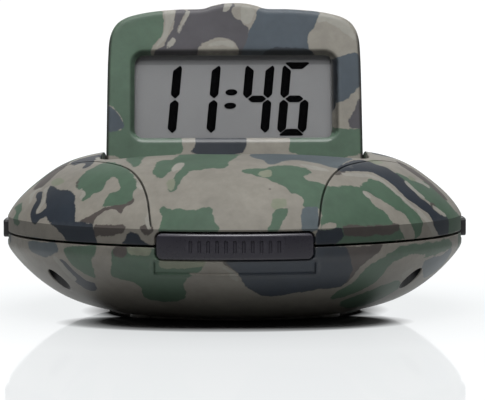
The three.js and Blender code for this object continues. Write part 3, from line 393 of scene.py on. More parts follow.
            [(-21.5,-52.9),(-20.6,-51.4),(-20.5,-53.8),(-20.9,-56.9),(-21.5,-56.4),(-21.9,-54.4)],
            [(-23.0,-40.2),(-22.3,-41.4),(-21.9,-43.9),(-22.6,-42.8),(-23.3,-41.7)],
            [(-33.2,-11.7),(-29.7,-14.7),(-26.8,-16.0),(-25.4,-16.3),(-25.4,-21.6),(-29.1,-19.7),(-32.6,-16.3)],
            [(15.2,-34.4),(18.5,-34.5),(20.9,-35.0),(22.3,-35.7),(19.9,-36.9),(17.1,-36.7)],
        ],
    },
    "low": {
        "green": [
            [(-44.4,-43.5),(-42.8,-46.3),(-40.0,-48.6),(-36.4,-51.8),(-35.6,-50.1),(-35.6,-47.6),(-34.7,-45.2),(-34.1,-42.6),(-35.9,-41.3),(-37.6,-41.0),(-39.6,-41.2),(-41.8,-41.9),(-43.1,-42.8)],
            [(-31.7,-54.0),(-28.8,-56.2),(-24.7,-58.4),(-21.3,-59.7),(-19.3,-60.5),(-18.2,-57.1),(-17.4,-56.8),(-14.5,-57.7),(-9.5,-58.8),(-8.0,-58.2),(-8.9,-56.1),(-10.9,-55.1),(-11.7,-52.8),(-12.4,-50.8),(-11.3,-48.7),(-12.0,-45.8),(-14.8,-43.3),(-17.6,-42.6),(-20.5,-42.1),(-21.8,-43.8),(-22.7,-46.5),(-25.3,-47.5),(-27.3,-46.7),(-29.9,-46.5),(-30.7,-48.7),(-30.5,-51.4)],
            [(43.1,-45.3),(46.1,-42.7),(50.4,-37.5),(57.6,-24.9),(57.0,-22.0),(52.6,-28.5),(49.0,-33.2),(46.2,-36.7),(43.3,-38.7),(40.4,-39.8),(38.1,-40.0),(36.3,-39.4),(33.9,-39.4),(31.4,-39.1),(29.4,-38.9),(26.1,-38.9),(22.4,-40.5),(24.5,-43.3),(27.6,-43.9),(29.9,-45.8),(32.2,-47.3),(34.8,-47.9),(37.5,-47.4),(40.2,-46.5)],
            [(24.8,-36.8),(27.8,-37.4),(31.3,-37.2),(34.5,-36.4),(37.6,-35.2),(39.8,-33.5),(40.0,-28.2),(37.8,-26.9),(34.6,-26.8),(30.1,-26.3),(25.9,-30.2)],
        ],
        "olive": [
            [(-18.5,-57.0),(-14.5,-58.4),(-10.1,-59.4),(-7.4,-59.7),(-7.8,-58.2),(-10.5,-57.1),(-14.3,-56.0),(-18.0,-55.0)],
            [(-28.1,-56.7),(-25.1,-58.3),(-21.7,-59.6),(-21.3,-58.2),(-23.9,-56.6),(-27.2,-55.6)],
        ],
        "tan": [
            [(39.1,-43.5),(42.0,-42.3),(44.9,-40.3),(47.1,-37.6),(48.5,-34.6),(45.4,-36.2),(43.0,-36.9),(40.7,-37.3),(38.3,-37.0),(36.1,-36.8),(33.9,-36.5),(31.8,-36.7),(33.0,-39.1),(35.3,-40.4),(37.2,-42.4)],
        ],
        "slate": [
            [(-55.3,-29.8),(-52.1,-36.0),(-47.3,-41.8),(-45.6,-41.3),(-46.5,-38.6),(-49.0,-33.9),(-51.6,-31.5),(-53.8,-29.7)],
            [(47.5,-32.7),(50.0,-30.7),(53.0,-25.8),(55.9,-23.0),(57.2,-13.7),(54.5,-8.5),(50.9,-11.0),(48.0,-9.0),(46.6,-24.6)],
        ],
        "brown": [
            [(28.4,-56.5),(33.2,-53.8),(39.0,-49.9),(36.6,-49.7),(34.0,-49.6),(31.6,-49.3),(29.3,-47.9),(27.5,-45.8),(25.6,-44.8),(27.3,-49.2),(28.5,-52.4),(28.2,-54.8)],
            [(-3.2,-60.3),(-0.7,-60.4),(1.3,-60.1),(1.2,-56.6),(-0.7,-57.5),(-2.2,-58.7)],
            [(-31.3,-55.1),(-28.4,-56.7),(-27.4,-55.4),(-29.3,-53.3),(-31.1,-53.5)],
        ],
        "navy": [
            [(-44.6,-39.4),(-42.9,-40.7),(-40.9,-40.1),(-38.5,-39.4),(-36.2,-38.9),(-33.9,-39.8),(-33.4,-36.4),(-35.4,-34.0),(-38.1,-34.3),(-40.5,-35.9),(-42.7,-37.4)],
            [(-2.2,-60.2),(1.3,-60.4),(6.7,-60.0),(13.6,-58.7),(18.8,-57.0),(19.2,-58.4),(21.2,-59.8),(28.7,-56.4),(28.8,-53.4),(28.7,-49.5),(27.3,-46.3),(25.6,-44.8),(23.2,-45.3),(19.8,-46.8),(16.1,-47.3),(13.0,-47.6),(9.7,-47.5),(6.4,-48.6),(4.0,-51.1),(1.9,-53.8),(0.7,-56.6),(-1.0,-58.1)],
        ],
        "pale": [
            [(-61.1,-10.6),(-59.4,-18.8),(-56.9,-22.3),(-54.7,-22.3),(-52.5,-21.2),(-54.1,-16.0),(-56.7,-15.7),(-58.9,-14.2)],
            [(-46.1,-38.7),(-44.7,-39.8),(-42.9,-39.2),(-40.7,-37.9),(-38.8,-36.4),(-39.5,-34.2),(-41.6,-35.5),(-43.9,-36.9),(-45.6,-37.6)],
            [(0.3,-56.2),(-1.4,-57.8),(-3.4,-58.4),(-1.7,-56.6),(-0.2,-54.9),(1.2,-53.8)],
            [(41.0,-35.1),(42.8,-35.4),(44.8,-34.2),(43.3,-33.6),(41.4,-32.0)],
            [(57.9,-22.2),(60.6,-11.9),(59.2,-7.5),(57.2,-13.7),(57.0,-20.9)],
            [(50.5,-17.9),(53.9,-18.0),(56.8,-15.8),(57.1,-8.2),(54.2,-8.5),(51.0,-8.7)],
        ],
    },
    "disp": {
        "green": [
            [(-31.9,28.9),(-31.7,32.0),(-30.7,34.6),(-28.9,36.6),(-26.4,37.9),(-22.9,38.7),(-17.9,39.2),(-17.9,37.1),(-17.7,35.1),(-18.2,32.5),(-19.4,30.7),(-20.7,28.9),(-20.4,25.3),(-21.9,23.7),(-21.9,16.1),(-21.9,8.9),(-12.9,8.4),(-12.9,6.1),(-13.2,2.5),(-32.7,2.6),(-31.8,8.4),(-29.8,8.2),(-27.8,8.9),(-27.8,10.7),(-29.1,13.0),(-30.6,14.5),(-31.8,15.1)],
            [(13.9,6.0),(13.9,8.8),(22.4,9.8),(22.9,9.8),(26.3,8.8),(29.3,8.5),(32.8,9.0),(32.7,2.4),(13.6,2.4)],
        ],
        "slate": [
            [(-31.8,14.8),(-30.6,14.3),(-29.1,12.8),(-27.8,10.7),(-27.8,8.9),(-29.8,8.2),(-31.8,8.2)],
            [(25.5,26.7),(28.3,27.6),(30.0,28.2),(31.3,27.4),(32.0,24.6),(31.9,20.0),(30.2,18.4),(28.4,16.4),(26.4,15.4),(24.4,15.4),(24.5,26.2)],
            [(5.9,39.4),(10.9,39.6),(17.1,39.1),(21.6,38.3),(20.6,36.5),(19.9,34.4),(18.8,32.9),(18.1,31.3),(18.6,29.5),(19.0,25.2),(0.3,24.7),(1.1,28.8),(1.6,30.6),(2.3,31.9),(3.3,33.2),(4.1,34.7),(5.4,37.1)],
        ],
        "navy": [
            [(7.6,28.8),(18.1,29.0),(19.5,28.2),(22.0,26.7),(24.0,25.1),(21.5,23.6),(7.5,24.7)],
            [(-8.9,8.4),(2.2,8.3),(2.2,2.5),(-10.7,2.5),(-9.9,4.3)],
            [(21.5,25.7),(24.5,26.7),(25.5,24.6),(25.4,15.9),(25.2,13.9),(21.4,13.4)],
        ],
        "brown": [
            [(-11.2,39.4),(-9.2,39.7),(-6.7,39.8),(-4.7,40.4),(-2.4,41.0),(-0.1,41.1),(0.4,40.4),(-0.6,39.1),(-0.2,37.8),(1.1,36.5),(2.1,35.3),(3.6,34.5),(3.6,32.9),(2.8,30.9),(2.1,28.8),(1.6,27.0),(0.6,27.0),(1.1,28.8),(0.3,30.6),(-1.2,31.7),(-3.9,31.9),(-6.4,31.4),(-7.9,30.6),(-8.7,29.4),(-8.9,27.0),(-0.4,26.8),(0.1,24.7),(-20.4,24.8),(-19.7,28.9),(-17.7,29.6),(-15.9,30.7),(-14.9,32.5),(-13.9,34.0),(-12.7,36.1),(-11.9,38.1)],
            [(-14.4,39.3),(-12.4,39.4),(-12.9,37.4),(-13.9,34.8),(-14.9,32.5),(-16.4,30.7),(-17.7,29.6),(-16.7,32.0),(-15.4,34.5),(-14.7,37.1)],
            [(31.9,16.7),(30.1,14.1),(28.9,11.6),(28.1,9.8),(29.3,8.7),(31.8,8.7)],
            [(1.1,36.5),(2.6,35.0),(3.6,34.0),(2.1,33.2),(0.1,33.7)],
        ],
        "pale": [
            [(-17.4,39.1),(-14.9,39.2),(-15.2,37.1),(-15.9,34.5),(-16.9,32.0),(-18.4,30.4),(-19.9,28.9),(-19.2,30.7),(-17.9,32.5),(-17.2,34.8),(-17.2,37.1)],
            [(-11.9,38.7),(-11.2,38.7),(-11.9,36.6),(-12.9,34.5),(-13.7,33.2),(-14.2,33.8),(-13.2,35.6),(-12.4,37.4)],
            [(-2.1,41.0),(-0.4,41.1),(-1.1,39.7),(-2.2,38.6),(-2.9,38.9),(-2.7,39.9)],
            [(-15.4,32.0),(-14.7,31.7),(-15.2,30.4),(-16.7,29.4),(-16.9,29.9)],
            [(-6.9,29.6),(-5.4,30.9),(-2.9,31.3),(-0.4,30.9),(0.3,29.6),(-2.9,30.1)],
            [(1.6,40.2),(3.6,40.2),(5.1,39.1),(4.9,37.3),(3.6,35.5),(2.3,36.0),(1.6,38.1)],
            [(21.6,38.0),(24.6,37.5),(27.6,36.0),(29.6,33.9),(30.6,31.3),(28.6,32.3),(26.1,34.4),(23.1,36.0),(20.9,36.0)],
        ],
    },
}


def gradient_noise(x, y, seed):
    g = np.random.RandomState(seed).uniform(0, 2 * math.pi, (64, 64))
    xi, yi = np.floor(x).astype(int), np.floor(y).astype(int)
    fx, fy = x - xi, y - yi
    u, v = fx**3 * (fx * (fx * 6 - 15) + 10), fy**3 * (fy * (fy * 6 - 15) + 10)

    def corner(i, j):
        a = g[(xi + i) % 64, (yi + j) % 64]
        return np.cos(a) * (fx - i) + np.sin(a) * (fy - j)

    return (corner(0, 0) * (1 - u) + corner(1, 0) * u) * (1 - v) + (corner(0, 1) * (1 - u) + corner(1, 1) * u) * v


def drawn(kind, layer, p):
    """Signed distance into the nearest drawn patch of a layer, positive inside."""
    best = np.full(len(p), -30.0)
    for poly in PATCHES[kind].get(layer, []):
        q = spline(poly, True, 3)
        lo, hi = q.min(0) - 6.5, q.max(0) + 6.5
        near = np.where(np.all((p > lo) & (p < hi), axis=1))[0]
        if len(near):
            d = distance(p[near], q, True)
            best[near] = np.maximum(best[near], np.where(inside(p[near], q), d, -d))
    return best


def scattered(p, seed):
    """The same print carried on where no patch is drawn."""
    u, v = p.T / 1.4
    wu = u + 3.2 * gradient_noise(u / 9 + 7, v / 9, seed + 11)
    wv = v + 3.2 * gradient_noise(u / 9, v / 9 + 5, seed + 12)
    c, s = math.cos(0.5), math.sin(0.5)
    a, b = (wu * c + wv * s), (-wu * s + wv * c)
    rough = 0.07 * gradient_noise(u / 2.3, v / 2.3, seed + 13)
    green = gradient_noise(a / 19, b / 11, seed + 1) + 0.35 * gradient_noise(a / 8, b / 6, seed + 2) + rough - 0.01
    navy = gradient_noise(a / 17 + 9, b / 8 + 3, seed + 3) + 0.3 * gradient_noise(a / 7, b / 5, seed + 4) + rough - 0.2
    brown = gradient_noise(a / 13 + 4, b / 6 + 8, seed + 5) + 0.3 * gradient_noise(a / 6, b / 4, seed + 6) + rough - 0.28
    tan = gradient_noise(a / 15 + 2, b / 7 + 6, seed + 7) + 0.3 * gradient_noise(a / 6, b / 4, seed + 8) + rough - 0.3
    olive = gradient_noise(a / 9 + 1, b / 5 + 3, seed + 9) + rough - 0.34
    slate = gradient_noise(a / 12 + 6, b / 7 + 1, seed + 10) + 0.3 * gradient_noise(a / 6, b / 4, seed + 14) + rough - 0.33
    # pale streaks follow the edges of the dark patches
    pale = np.minimum(0.055 - np.abs(navy + 0.075), gradient_noise(a / 10, b / 5 + 2, seed + 15) + 0.03)
    return {
        "green": green * 22, "olive": olive * 11, "tan": tan * 19, "slate": slate * 17, "brown": brown * 15,
        "navy": navy * 19, "pale": pale * 12,
    }


LAYERS = ("green", "olive", "tan", "slate", "brown", "navy", "pale")


def print_camo(ob, kind, where, weight, seed):
    """Stores each layer's signed distance on the mesh. where gives the flat position of each vertex, weight is 0 where
    the drawn patches count and 1 where the scattered ones do."""
    me = ob.data
    co = np.zeros(len(me.vertices) * 3)
    me.vertices.foreach_get("co", co)
    co = co.reshape(-1, 3) * 1000
    p = where(co)
    w = weight(co, p)
    loose = scattered(p, seed)
    for layer in LAYERS:
        fixed = np.clip(drawn(kind, layer, p), -6, 6) if kind else np.full(len(p), -6.0)
        value = fixed * (1 - w) + np.clip(loose[layer], -6, 6) * w
        at = me.attributes.new("camo_" + layer, "FLOAT", "POINT")
        at.data.foreach_set("value", value.astype(np.float32))

# ------------------------------------------------------------------ outlines shared by several pieces

EDGE = [
    [31.9, 0], [31.8, 10], [31.7, 20], [31.55, 27], [31.2, 31.9], [30.45, 34.3], [29.1, 36.2], [27, 37.5],
    [24, 38.4], [20, 39.1], [14, 39.6], [7.6, 39.8], [5.9, 40.4], [3.2, 41.05], [0, 41.25],
]
_half = EDGE + [[-u, v] for u, v in EDGE[-2::-1]]
PANEL = spline(_half, False, 8)  # from the right hand end of the hinge line, over the top, to the left hand end

GROOVE = [
    [19, -53.2], [19.2, -50], [19.9, -45.5], [21.2, -40.6], [23, -36], [25.2, -31.2], [28, -26.4], [31.2, -21.2],
    [34.6, -16], [38.6, -11], [43.4, -7.2], [49, -4.6], [53.4, -3.4],
]
_line = np.array([[18.9, -51.55]] + GROOVE[1:] + [[54.55, -3.15]])
GROOVE_LINE = resample(spline(_line, False, 8), 0.7, False)
GROOVE_DEPTH = 0.8



def mouth_round(y):
    """Rounding of the pocket's mouth: tight along the sides, fuller towards the front."""
    return (0.16 + 0.3 * smooth((-y - 4) / 12))[:, None]


POCKET_REAR = 24.5
POCKET_FLOOR = 28.8


def pocket_outline():
    side = np.array([p for p in PANEL])
    t = np.gradient(side, axis=0)
    t /= np.hypot(*t.T)[:, None]
    room = 0.3 + 0.3 * smooth((side[:, 1] - 24) / 8)  # close at the sides, wider round the free end
    grown = side + room[:, None] * np.c_[t[:, 1], -t[:, 0]]
    # the path runs from right to left over the top; in plan the top lies to the front
    plan = np.c_[grown[:, 0], HINGE_Y - grown[:, 1]]
    x0, x1 = plan[-1, 0], plan[0, 0]
    r = 1.6
    rear = []
    for cx, a in ((x0 + r, 180), (x1 - r, 90)):
        for i in range(9):
            t = math.radians(a - 90 * i / 8)
            rear.append((cx + r * math.cos(t), POCKET_REAR - r + r * math.sin(t)))
    loop = np.vstack([plan, rear])
    loop = resample(loop, 0.7, True)
    area = 0.5 * np.sum(loop[:, 0] * np.roll(loop[:, 1], -1) - np.roll(loop[:, 0], -1) * loop[:, 1])
    return loop if area > 0 else loop[::-1]


def pocket_z(y):
    y = np.asarray(y, float)
    bend = HINGE_Z - np.sqrt(np.maximum(5.2**2 - np.clip(y - HINGE_Y, 0, 5.2) ** 2, 0.0))
    turn = HINGE_Y + 5.2 * math.cos(math.radians(21))
    slope = HINGE_Z - 5.2 * math.sin(math.radians(21)) + (y - turn) / math.tan(math.radians(21))
    z = np.where(y < HINGE_Y, POCKET_FLOOR, np.where(y < turn, bend, slope))
    return z


KEY_X = (-18.0, -6.0, 6.0, 18.0)


def fill_rings(radii, step):
    out = []
    for k, r in enumerate(radii):
        n = max(6, int(round(2 * math.pi * r / step)))
        t = (np.arange(n) + 0.5 * (k % 2)) / n * 2 * math.pi
        out.append(np.c_[r * np.sin(t), -r * np.cos(t)])
    return np.vstack(out)


def edge_line(seam, notches, half):
    """Edge of a case half along the seam, left to right in (distance round the case, height), with the slots cut in."""
    pts = [(-half, seam)]
    for c, hw, level, rc in notches:
        s = 1 if level > seam else -1
        re = 0.3
        for side in (-1, 1):
            outer = []
            cx, cz = c + side * (hw + re), seam + s * re
            for i in range(6):
                t = math.radians(90 * i / 5)
                outer.append((cx - side * re * math.sin(t), cz - s * re * math.cos(t)))
            inner = []
            cx, cz = c + side * (hw - rc), level - s * rc
            for i in range(9):
                t = math.radians(90 * i / 8)
                inner.append((cx + side * rc * math.cos(t), cz + s * rc * math.sin(t)))
            pts += outer + inner if side < 0 else inner[::-1] + outer[::-1]
    pts.append((half, seam))
    out = []
    for a, b in zip(pts[:-1], pts[1:]):
        n = max(1, int(math.ceil(math.hypot(b[0] - a[0], b[1] - a[1]) / 0.7)))
        out += [(a[0] + (b[0] - a[0]) * i / n, a[1] + (b[1] - a[1]) * i / n) for i in range(n)]
    out.append(pts[-1])
    return np.array(out)


HALF_TURN = math.pi * RIM_R
SLOTS_UP = [(-HALF_TURN / 2, 8.33, 3.35, 0.9), (0, 18.6, 3.51, 1.75), (HALF_TURN / 2, 8.33, 3.35, 0.9)]
SLOTS_DOWN = [(-HALF_TURN / 2, 8.33, -1.75, 0.9), (0, 18.6, -3.35, 1.75), (HALF_TURN / 2, 8.33, -1.75, 0.9)]
SEAM_ROUND = 0.24


def round_edge(skin, first, path, place, side, depth):
    """Rounds a case edge over and turns it inward. place(a, h, inward) gives points."""
    last = first
    for k in range(1, 5):
        t = math.pi / 2 * k / 4
        out = offset_path(path, side * SEAM_ROUND * (1 - math.sin(t)))
        new = skin.add(place(out[:, 0], out[:, 1], np.full(len(out), SEAM_ROUND * (1 - math.cos(t)))))
        skin.bridge(last, new, False)
        last = new
    new = skin.add(place(path[:, 0], path[:, 1], np.full(len(path), depth)))
    skin.bridge(last, new, False)


# ------------------------------------------------------------------ upper half of the case


def build_case_top():
    skin = Skin()
    n_rim = 432
    ang = -math.pi + np.arange(n_rim) / n_rim * 2 * math.pi
    rim = np.c_[CREASE_R * np.sin(ang), -CREASE_R * np.cos(ang)]
    pocket = pocket_outline()
    LIP = mouth_round(pocket[:, 1])
    lip = offset_loop(pocket, LIP)
    lines = []
    for sx in (1, -1):
        for d in (-0.42, -0.24, -0.09, 0.09, 0.24, 0.42):
            q = offset_path(GROOVE_LINE, d)
            q = q[np.hypot(*q.T) < CREASE_R - 0.25]
            lines.append(q * [sx, 1])
    runs = np.arange(0.6, TOP_S[-1] - 0.3, 0.6)
    radii = np.interp(TOP_S[-1] - runs, TOP_S, TOP[:, 0])
    fill = fill_rings(radii, 0.62)
    fill = fill[~inside(fill, offset_loop(lip, 0.35))]
    fill = fill[distance(fill, lip, True) > 0.4]
    both = [GROOVE_LINE, GROOVE_LINE * [-1, 1]]
    for g in both:
        fill = fill[distance(fill, g, False) > 0.66]
    xy, tri, spans = field([rim, lip], lines, fill, lambda m: ~inside(m, lip))
    r = np.hypot(*xy.T)
    d = np.minimum(distance(xy, both[0], False), distance(xy, both[1], False))
    fade = smooth((CREASE_R - r) / 0.7)
    cut = GROOVE_DEPTH * (1 - smooth((d - 0.09) / 0.15)) * fade
    ids = skin.sheet(np.c_[xy, top_z(r) - cut], tri)

    # mouth of the pocket, its walls and floor
    last = [ids[i] for i in spans[1]]
    for k in range(1, 6):
        t = math.pi / 2 * k / 5
        out = offset_loop(pocket, LIP * (1 - math.sin(t)))
        z = top_z(np.hypot(*lip.T)) - LIP[:, 0] * (1 - math.cos(t))
        new = skin.add(np.c_[out, z])
        skin.bridge(last, new)
        last = new
    z_lip = top_z(np.hypot(*lip.T)) - LIP[:, 0]
    for grow, up in ((0.0, 0.6), (-0.09, 0.3), (-0.3, 0.09), (-0.6, 0.0)):
        out = offset_loop(pocket, grow)
        z = np.minimum(pocket_z(out[:, 1]) + up, z_lip - 0.02 - 0.05 * (0.6 - up))
        new = skin.add(np.c_[out, z])
        skin.bridge(last, new)
        last = new
        bed = np.c_[out, z]
    edge = bed[:, :2]
    holes = [resample(rounded(x - 4.35, x + 4.35, -2.85, 2.85, 1.9), 0.5, True) for x in KEY_X]
    grown = [offset_loop(h, 0.25) for h in holes]
    gx, gy = np.meshgrid(np.arange(-33, 33, 1.0), np.arange(-25, 25, 1.0))
    grid = np.c_[gx.ravel(), gy.ravel()]
    grid = grid[inside(grid, edge)]
    grid = grid[distance(grid, edge, True) > 0.4]
    for h in grown:
        grid = grid[~inside(grid, h)]
        grid = grid[distance(grid, h, True) > 0.35]
    xy, tri, spans = field(
        [edge] + grown, [], grid,
        lambda m: inside(m, edge) & ~np.any([inside(m, h) for h in grown], axis=0),
    )
    z = pocket_z(xy[:, 1])
    for i, k in enumerate(spans[0]):
        z[k] = bed[i, 2]
    ids2 = skin.sheet(np.c_[xy, z], tri)
    for h, big, span in zip(holes, grown, spans[1:]):
        last2 = [ids2[i] for i in span]
        for k in (1, 2, 3):
            t = math.pi / 2 * k / 3
            out = offset_loop(h, 0.25 * (1 - math.sin(t)))
            new = skin.add(np.c_[out, np.full(len(out), POCKET_FLOOR - 0.25 * (1 - math.cos(t)))])
            skin.bridge(last2, new)
            last2 = new
        new = skin.add(np.c_[h, np.full(len(h), POCKET_FLOOR - 1.6)])
        skin.bridge(last2, new)

    # upright band between the crease and the seam
    path = edge_line(0.33, SLOTS_UP, HALF_TURN)

    def place(a, z, inward):
        t = a / RIM_R
        rr = RIM_R - (RIM_R - CREASE_R) * np.clip((z - 2.2) / (CREASE_Z - 2.2), 0, 1) ** 1.5 - inward
        return np.c_[rr * np.sin(t), -rr * np.cos(t), SEAM + z]

    low = offset_path(path, SEAM_ROUND)
    top = np.c_[np.append(ang, math.pi) * RIM_R, np.full(n_rim + 1, CREASE_Z)]
    ends = np.array([1.1, 1.8, 2.5, 3.2])
    right = np.c_[np.full(4, HALF_TURN), ends]
    loop = np.vstack([low, right, top[::-1], (right * [-1, 1])[::-1]])
    ga, gz = np.meshgrid(np.arange(-HALF_TURN + 0.4, HALF_TURN, 0.8), np.arange(0.9, 3.7, 0.65))
    grid = np.c_[ga.ravel(), gz.ravel()]
    grid = grid[inside(grid, loop)]
    grid = grid[distance(grid, loop, True) > 0.3]
    xy, tri, spans = field([loop], [], grid, lambda m: inside(m, loop))
    ids3 = skin.sheet(place(xy[:, 0], xy[:, 1], np.zeros(len(xy))), tri)
    round_edge(skin, [ids3[i] for i in spans[0][: len(low)]], path, place, 1, 2.2)
    return skin


# ------------------------------------------------------------------ lower half of the case

WELLS = [(41.0 * sx, 27.5 * sy) for sx in (-1, 1) for sy in (-1, 1)]
FEET = [(20.5 * sx, 19.5 * sy) for sy in (-1, 1) for sx in (-1, 1)]
SPEAKER_X = 25.0
SOUND = [(SPEAKER_X, 0.0)] + [
    (SPEAKER_X + 4.6 * math.cos(math.pi * (2 * i + 1) / 6), 4.6 * math.sin(math.pi * (2 * i + 1) / 6)) for i in range(6)
]
INSET_X, INSET_Z, INSET_DEEP = 18.4, -6.5, 0.3


def build_case_bottom():
    skin = Skin()
    path = edge_line(-0.2, SLOTS_DOWN, HALF_TURN)
    # (distance round the case, distance down the profile)
    path = np.c_[path[:, 0], low_s_of_z(path[:, 1])]

    def place(a, s, inward):
        r, z = low_at(np.maximum(s, 0))
        r2, z2 = low_at(np.maximum(s, 0) + 0.05)
        nz, nr = -(r - r2), (z - z2)
        ln = np.maximum(np.hypot(nr, nz), 1e-9)
        nr, nz = nr / ln, nz / ln
        t = a / RIM_R
        x = r * np.sin(t)
        sunk = INSET_DEEP * smooth((INSET_X - np.abs(x)) / 0.35) * smooth((z - INSET_Z) / 0.35) * smooth((-2.95 - z) / 0.35)
        line = np.abs(np.minimum(INSET_X - np.abs(x), z - INSET_Z) - 0.17)
        sunk = sunk + 0.26 * np.clip(1 - line / 0.16, 0, 1) * smooth((-3.2 - z) / 0.3)
        sunk = np.where(np.cos(t) > 0, sunk, 0)
        k = inward + sunk
        rr, zz = r - nr * k, z - nz * k
        return np.c_[rr * np.sin(t), -rr * np.cos(t), SEAM + zz]

    edge = offset_path(path, SEAM_ROUND)  # the profile distance grows downward, so left of travel is into the half
    s_end = LOW_S[-1]
    n_base = 288
    base_a = np.linspace(-HALF_TURN, HALF_TURN, n_base + 1)
    base = np.c_[base_a, np.full(n_base + 1, s_end)]
    ends_s = np.arange(1.2, s_end - 0.5, 0.95)
    right = np.c_[np.full(len(ends_s), HALF_TURN), ends_s]
    loop = np.vstack([edge, right, base[::-1], (right * [-1, 1])[::-1]])
    well_r, well_lip = 2.5, 0.35
    wells = []
    for x, y in WELLS:
        c = ring(x, y, well_r + well_lip, 40)
        r = np.hypot(*c.T)
        wells.append(np.c_[np.arctan2(c[:, 0], -c[:, 1]) * RIM_R, low_s_of_r(r)])
    lines = []
    for x1, z1 in ((INSET_X + 0.05, INSET_Z - 0.05), (INSET_X - 0.17, INSET_Z + 0.17), (INSET_X - 0.4, INSET_Z + 0.4)):
        q = [(-x1, z) for z in np.arange(-3.95, z1, -0.4)] + [(x, z1) for x in np.linspace(-x1, x1, 52)]
        q += [(x1, z) for z in np.arange(-3.95, z1, -0.4)][::-1]
        q = np.array(q)
        s = low_s_of_z(q[:, 1])
        r, _ = low_at(s)
        lines.append(np.c_[np.arcsin(q[:, 0] / r) * RIM_R, s])
    fill = []
    for k, s in enumerate(np.arange(0.8, s_end - 0.3, 0.65)):
        r, _ = low_at(s)
        n = int(round(2 * math.pi * float(r) / 0.68))
        fill.append(np.c_[((np.arange(n) + 0.5 * (k % 2)) / n * 2 - 1) * HALF_TURN, np.full(n, s)])
    fill = np.vstack(fill)
    fill = fill[inside(fill, loop)]
    fill = fill[distance(fill, loop, True) > 0.35]
    for w in wells:
        fill = fill[~inside(fill, w)]
        fill = fill[distance(fill, w, True) > 0.4]
    for q in lines:
        fill = fill[distance(fill, q, False) > 0.3]
    xy, tri, spans = field(
        [loop] + wells, lines, fill, lambda m: inside(m, loop) & ~np.any([inside(m, w) for w in wells], axis=0)
    )
    ids = skin.sheet(place(xy[:, 0], xy[:, 1], np.zeros(len(xy))), tri)
    round_edge(skin, [ids[i] for i in spans[0][: len(edge)]], path, place, 1, 2.2)

    # screw wells
    for (x, y), span in zip(WELLS, spans[1:]):
        start = np.array([skin.v[ids[i]] for i in span])
        last = [ids[i] for i in span]
        a = np.arctan2(start[:, 1] - y, start[:, 0] - x)
        for k in range(1, 5):
            t = math.pi / 2 * k / 4
            rr = well_r + well_lip * (1 - math.sin(t))
            new = skin.add(np.c_[x + rr * np.cos(a), y + rr * np.sin(a), start[:, 2] + well_lip * (1 - math.cos(t))])
            skin.bridge(last, new)
            last = new
        for rr, z in ((well_r, 14.4), (well_r - 0.2, 14.6)):
            new = skin.add(np.c_[x + rr * np.cos(a), y + rr * np.sin(a), np.full(len(a), z)])
            skin.bridge(last, new)
            last = new
        skin.cap(last)

    # plinth and base plate
    ang = base_a[:-1] / RIM_R
    last = [ids[i] for i in spans[0][len(edge) + len(right) : len(edge) + len(right) + n_base + 1]][::-1][:-1]
    for r, z in ((31.12, 0.9), (31.1, 0.78), (31.02, 0.62), (30.88, 0.53), (30.7, 0.5)):
        new = skin.add(np.c_[r * np.sin(ang), -r * np.cos(ang), np.full(n_base, z)])
        skin.bridge(last, new)
        last = new
    plate = np.c_[30.7 * np.sin(ang), -30.7 * np.cos(ang)]
    cuts = [(resample(rounded(-12.95, 12.95, -25.95, 26.35, 1.0), 0.6, True), 1.7, False)]
    cuts += [(ring(x, y, 4.35, 44), 0.7, True) for x, y in FEET]
    cuts += [(ring(x, y, 1.2, 20), 2.0, False) for x, y in SOUND]
    grown = [offset_loop(c, 0.18) for c, _, _ in cuts]
    grid = fill_rings(np.arange(1.0, 30.2, 1.1), 1.1)
    for h in grown:
        grid = grid[~inside(grid, h)]
        grid = grid[distance(grid, h, True) > 0.4]
    xy, tri, spans = field([plate] + grown, [], grid, lambda m: ~np.any([inside(m, h) for h in grown], axis=0))
    ids = skin.sheet(np.c_[xy, np.full(len(xy), 0.5)], tri)
    for (c, deep, closed), span in zip(cuts, spans[1:]):
        last = [ids[i] for i in span]
        for grow, z in ((0.05, 0.55), (0.0, 0.68), (0.0, 0.5 + deep)):
            new = skin.add(np.c_[offset_loop(c, grow), np.full(len(c), z)])
            skin.bridge(last, new)
            last = new
        if closed:
            skin.cap(last)
        elif deep > 1.6 and c[:, 0].max() - c[:, 0].min() > 20:
            # ledge that the door lies on, and the box that holds the cells
            box = np.c_[np.clip(c[:, 0], -11.4, 11.4), np.clip(c[:, 1], -25.7, 26.1)]
            for grow, z in ((0.0, 0.5 + deep), (0.0, 3.0), (0.0, 14.4), (-0.3, 14.8)):
                new = skin.add(np.c_[box * (1 + grow / 20), np.full(len(c), z)])
                skin.bridge(last, new)
                last = new
            skin.cap(last)
    return skin


# ------------------------------------------------------------------ flip-up display


def on_display(u, v, n):
    """Point of the display from its own across, up and out-of-the-front lengths."""
    y = HINGE_Y - n * math.cos(LEAN) + v * math.sin(LEAN)
    z = HINGE_Z + n * math.sin(LEAN) + v * math.cos(LEAN)
    return np.c_[u, y, z]


BARREL = 4.7
BEZEL_BACK = -1.9
COVER_BACK = -2.2
BARREL_END = -BARREL * math.acos(BEZEL_BACK / BARREL)


def front_of(u, w, drop):
    """Point on the display front; w runs up the flat front and, below the hinge line, round the barrel."""
    t = np.minimum(w, 0) / BARREL
    r = BARREL - drop
    v = np.where(w >= 0, w, r * np.sin(t))
    n = np.where(w >= 0, r, r * np.cos(t))
    return on_display(u, v, n)


WINDOW = (-24.9, 24.9, 6.6, 27.8, 2.4)


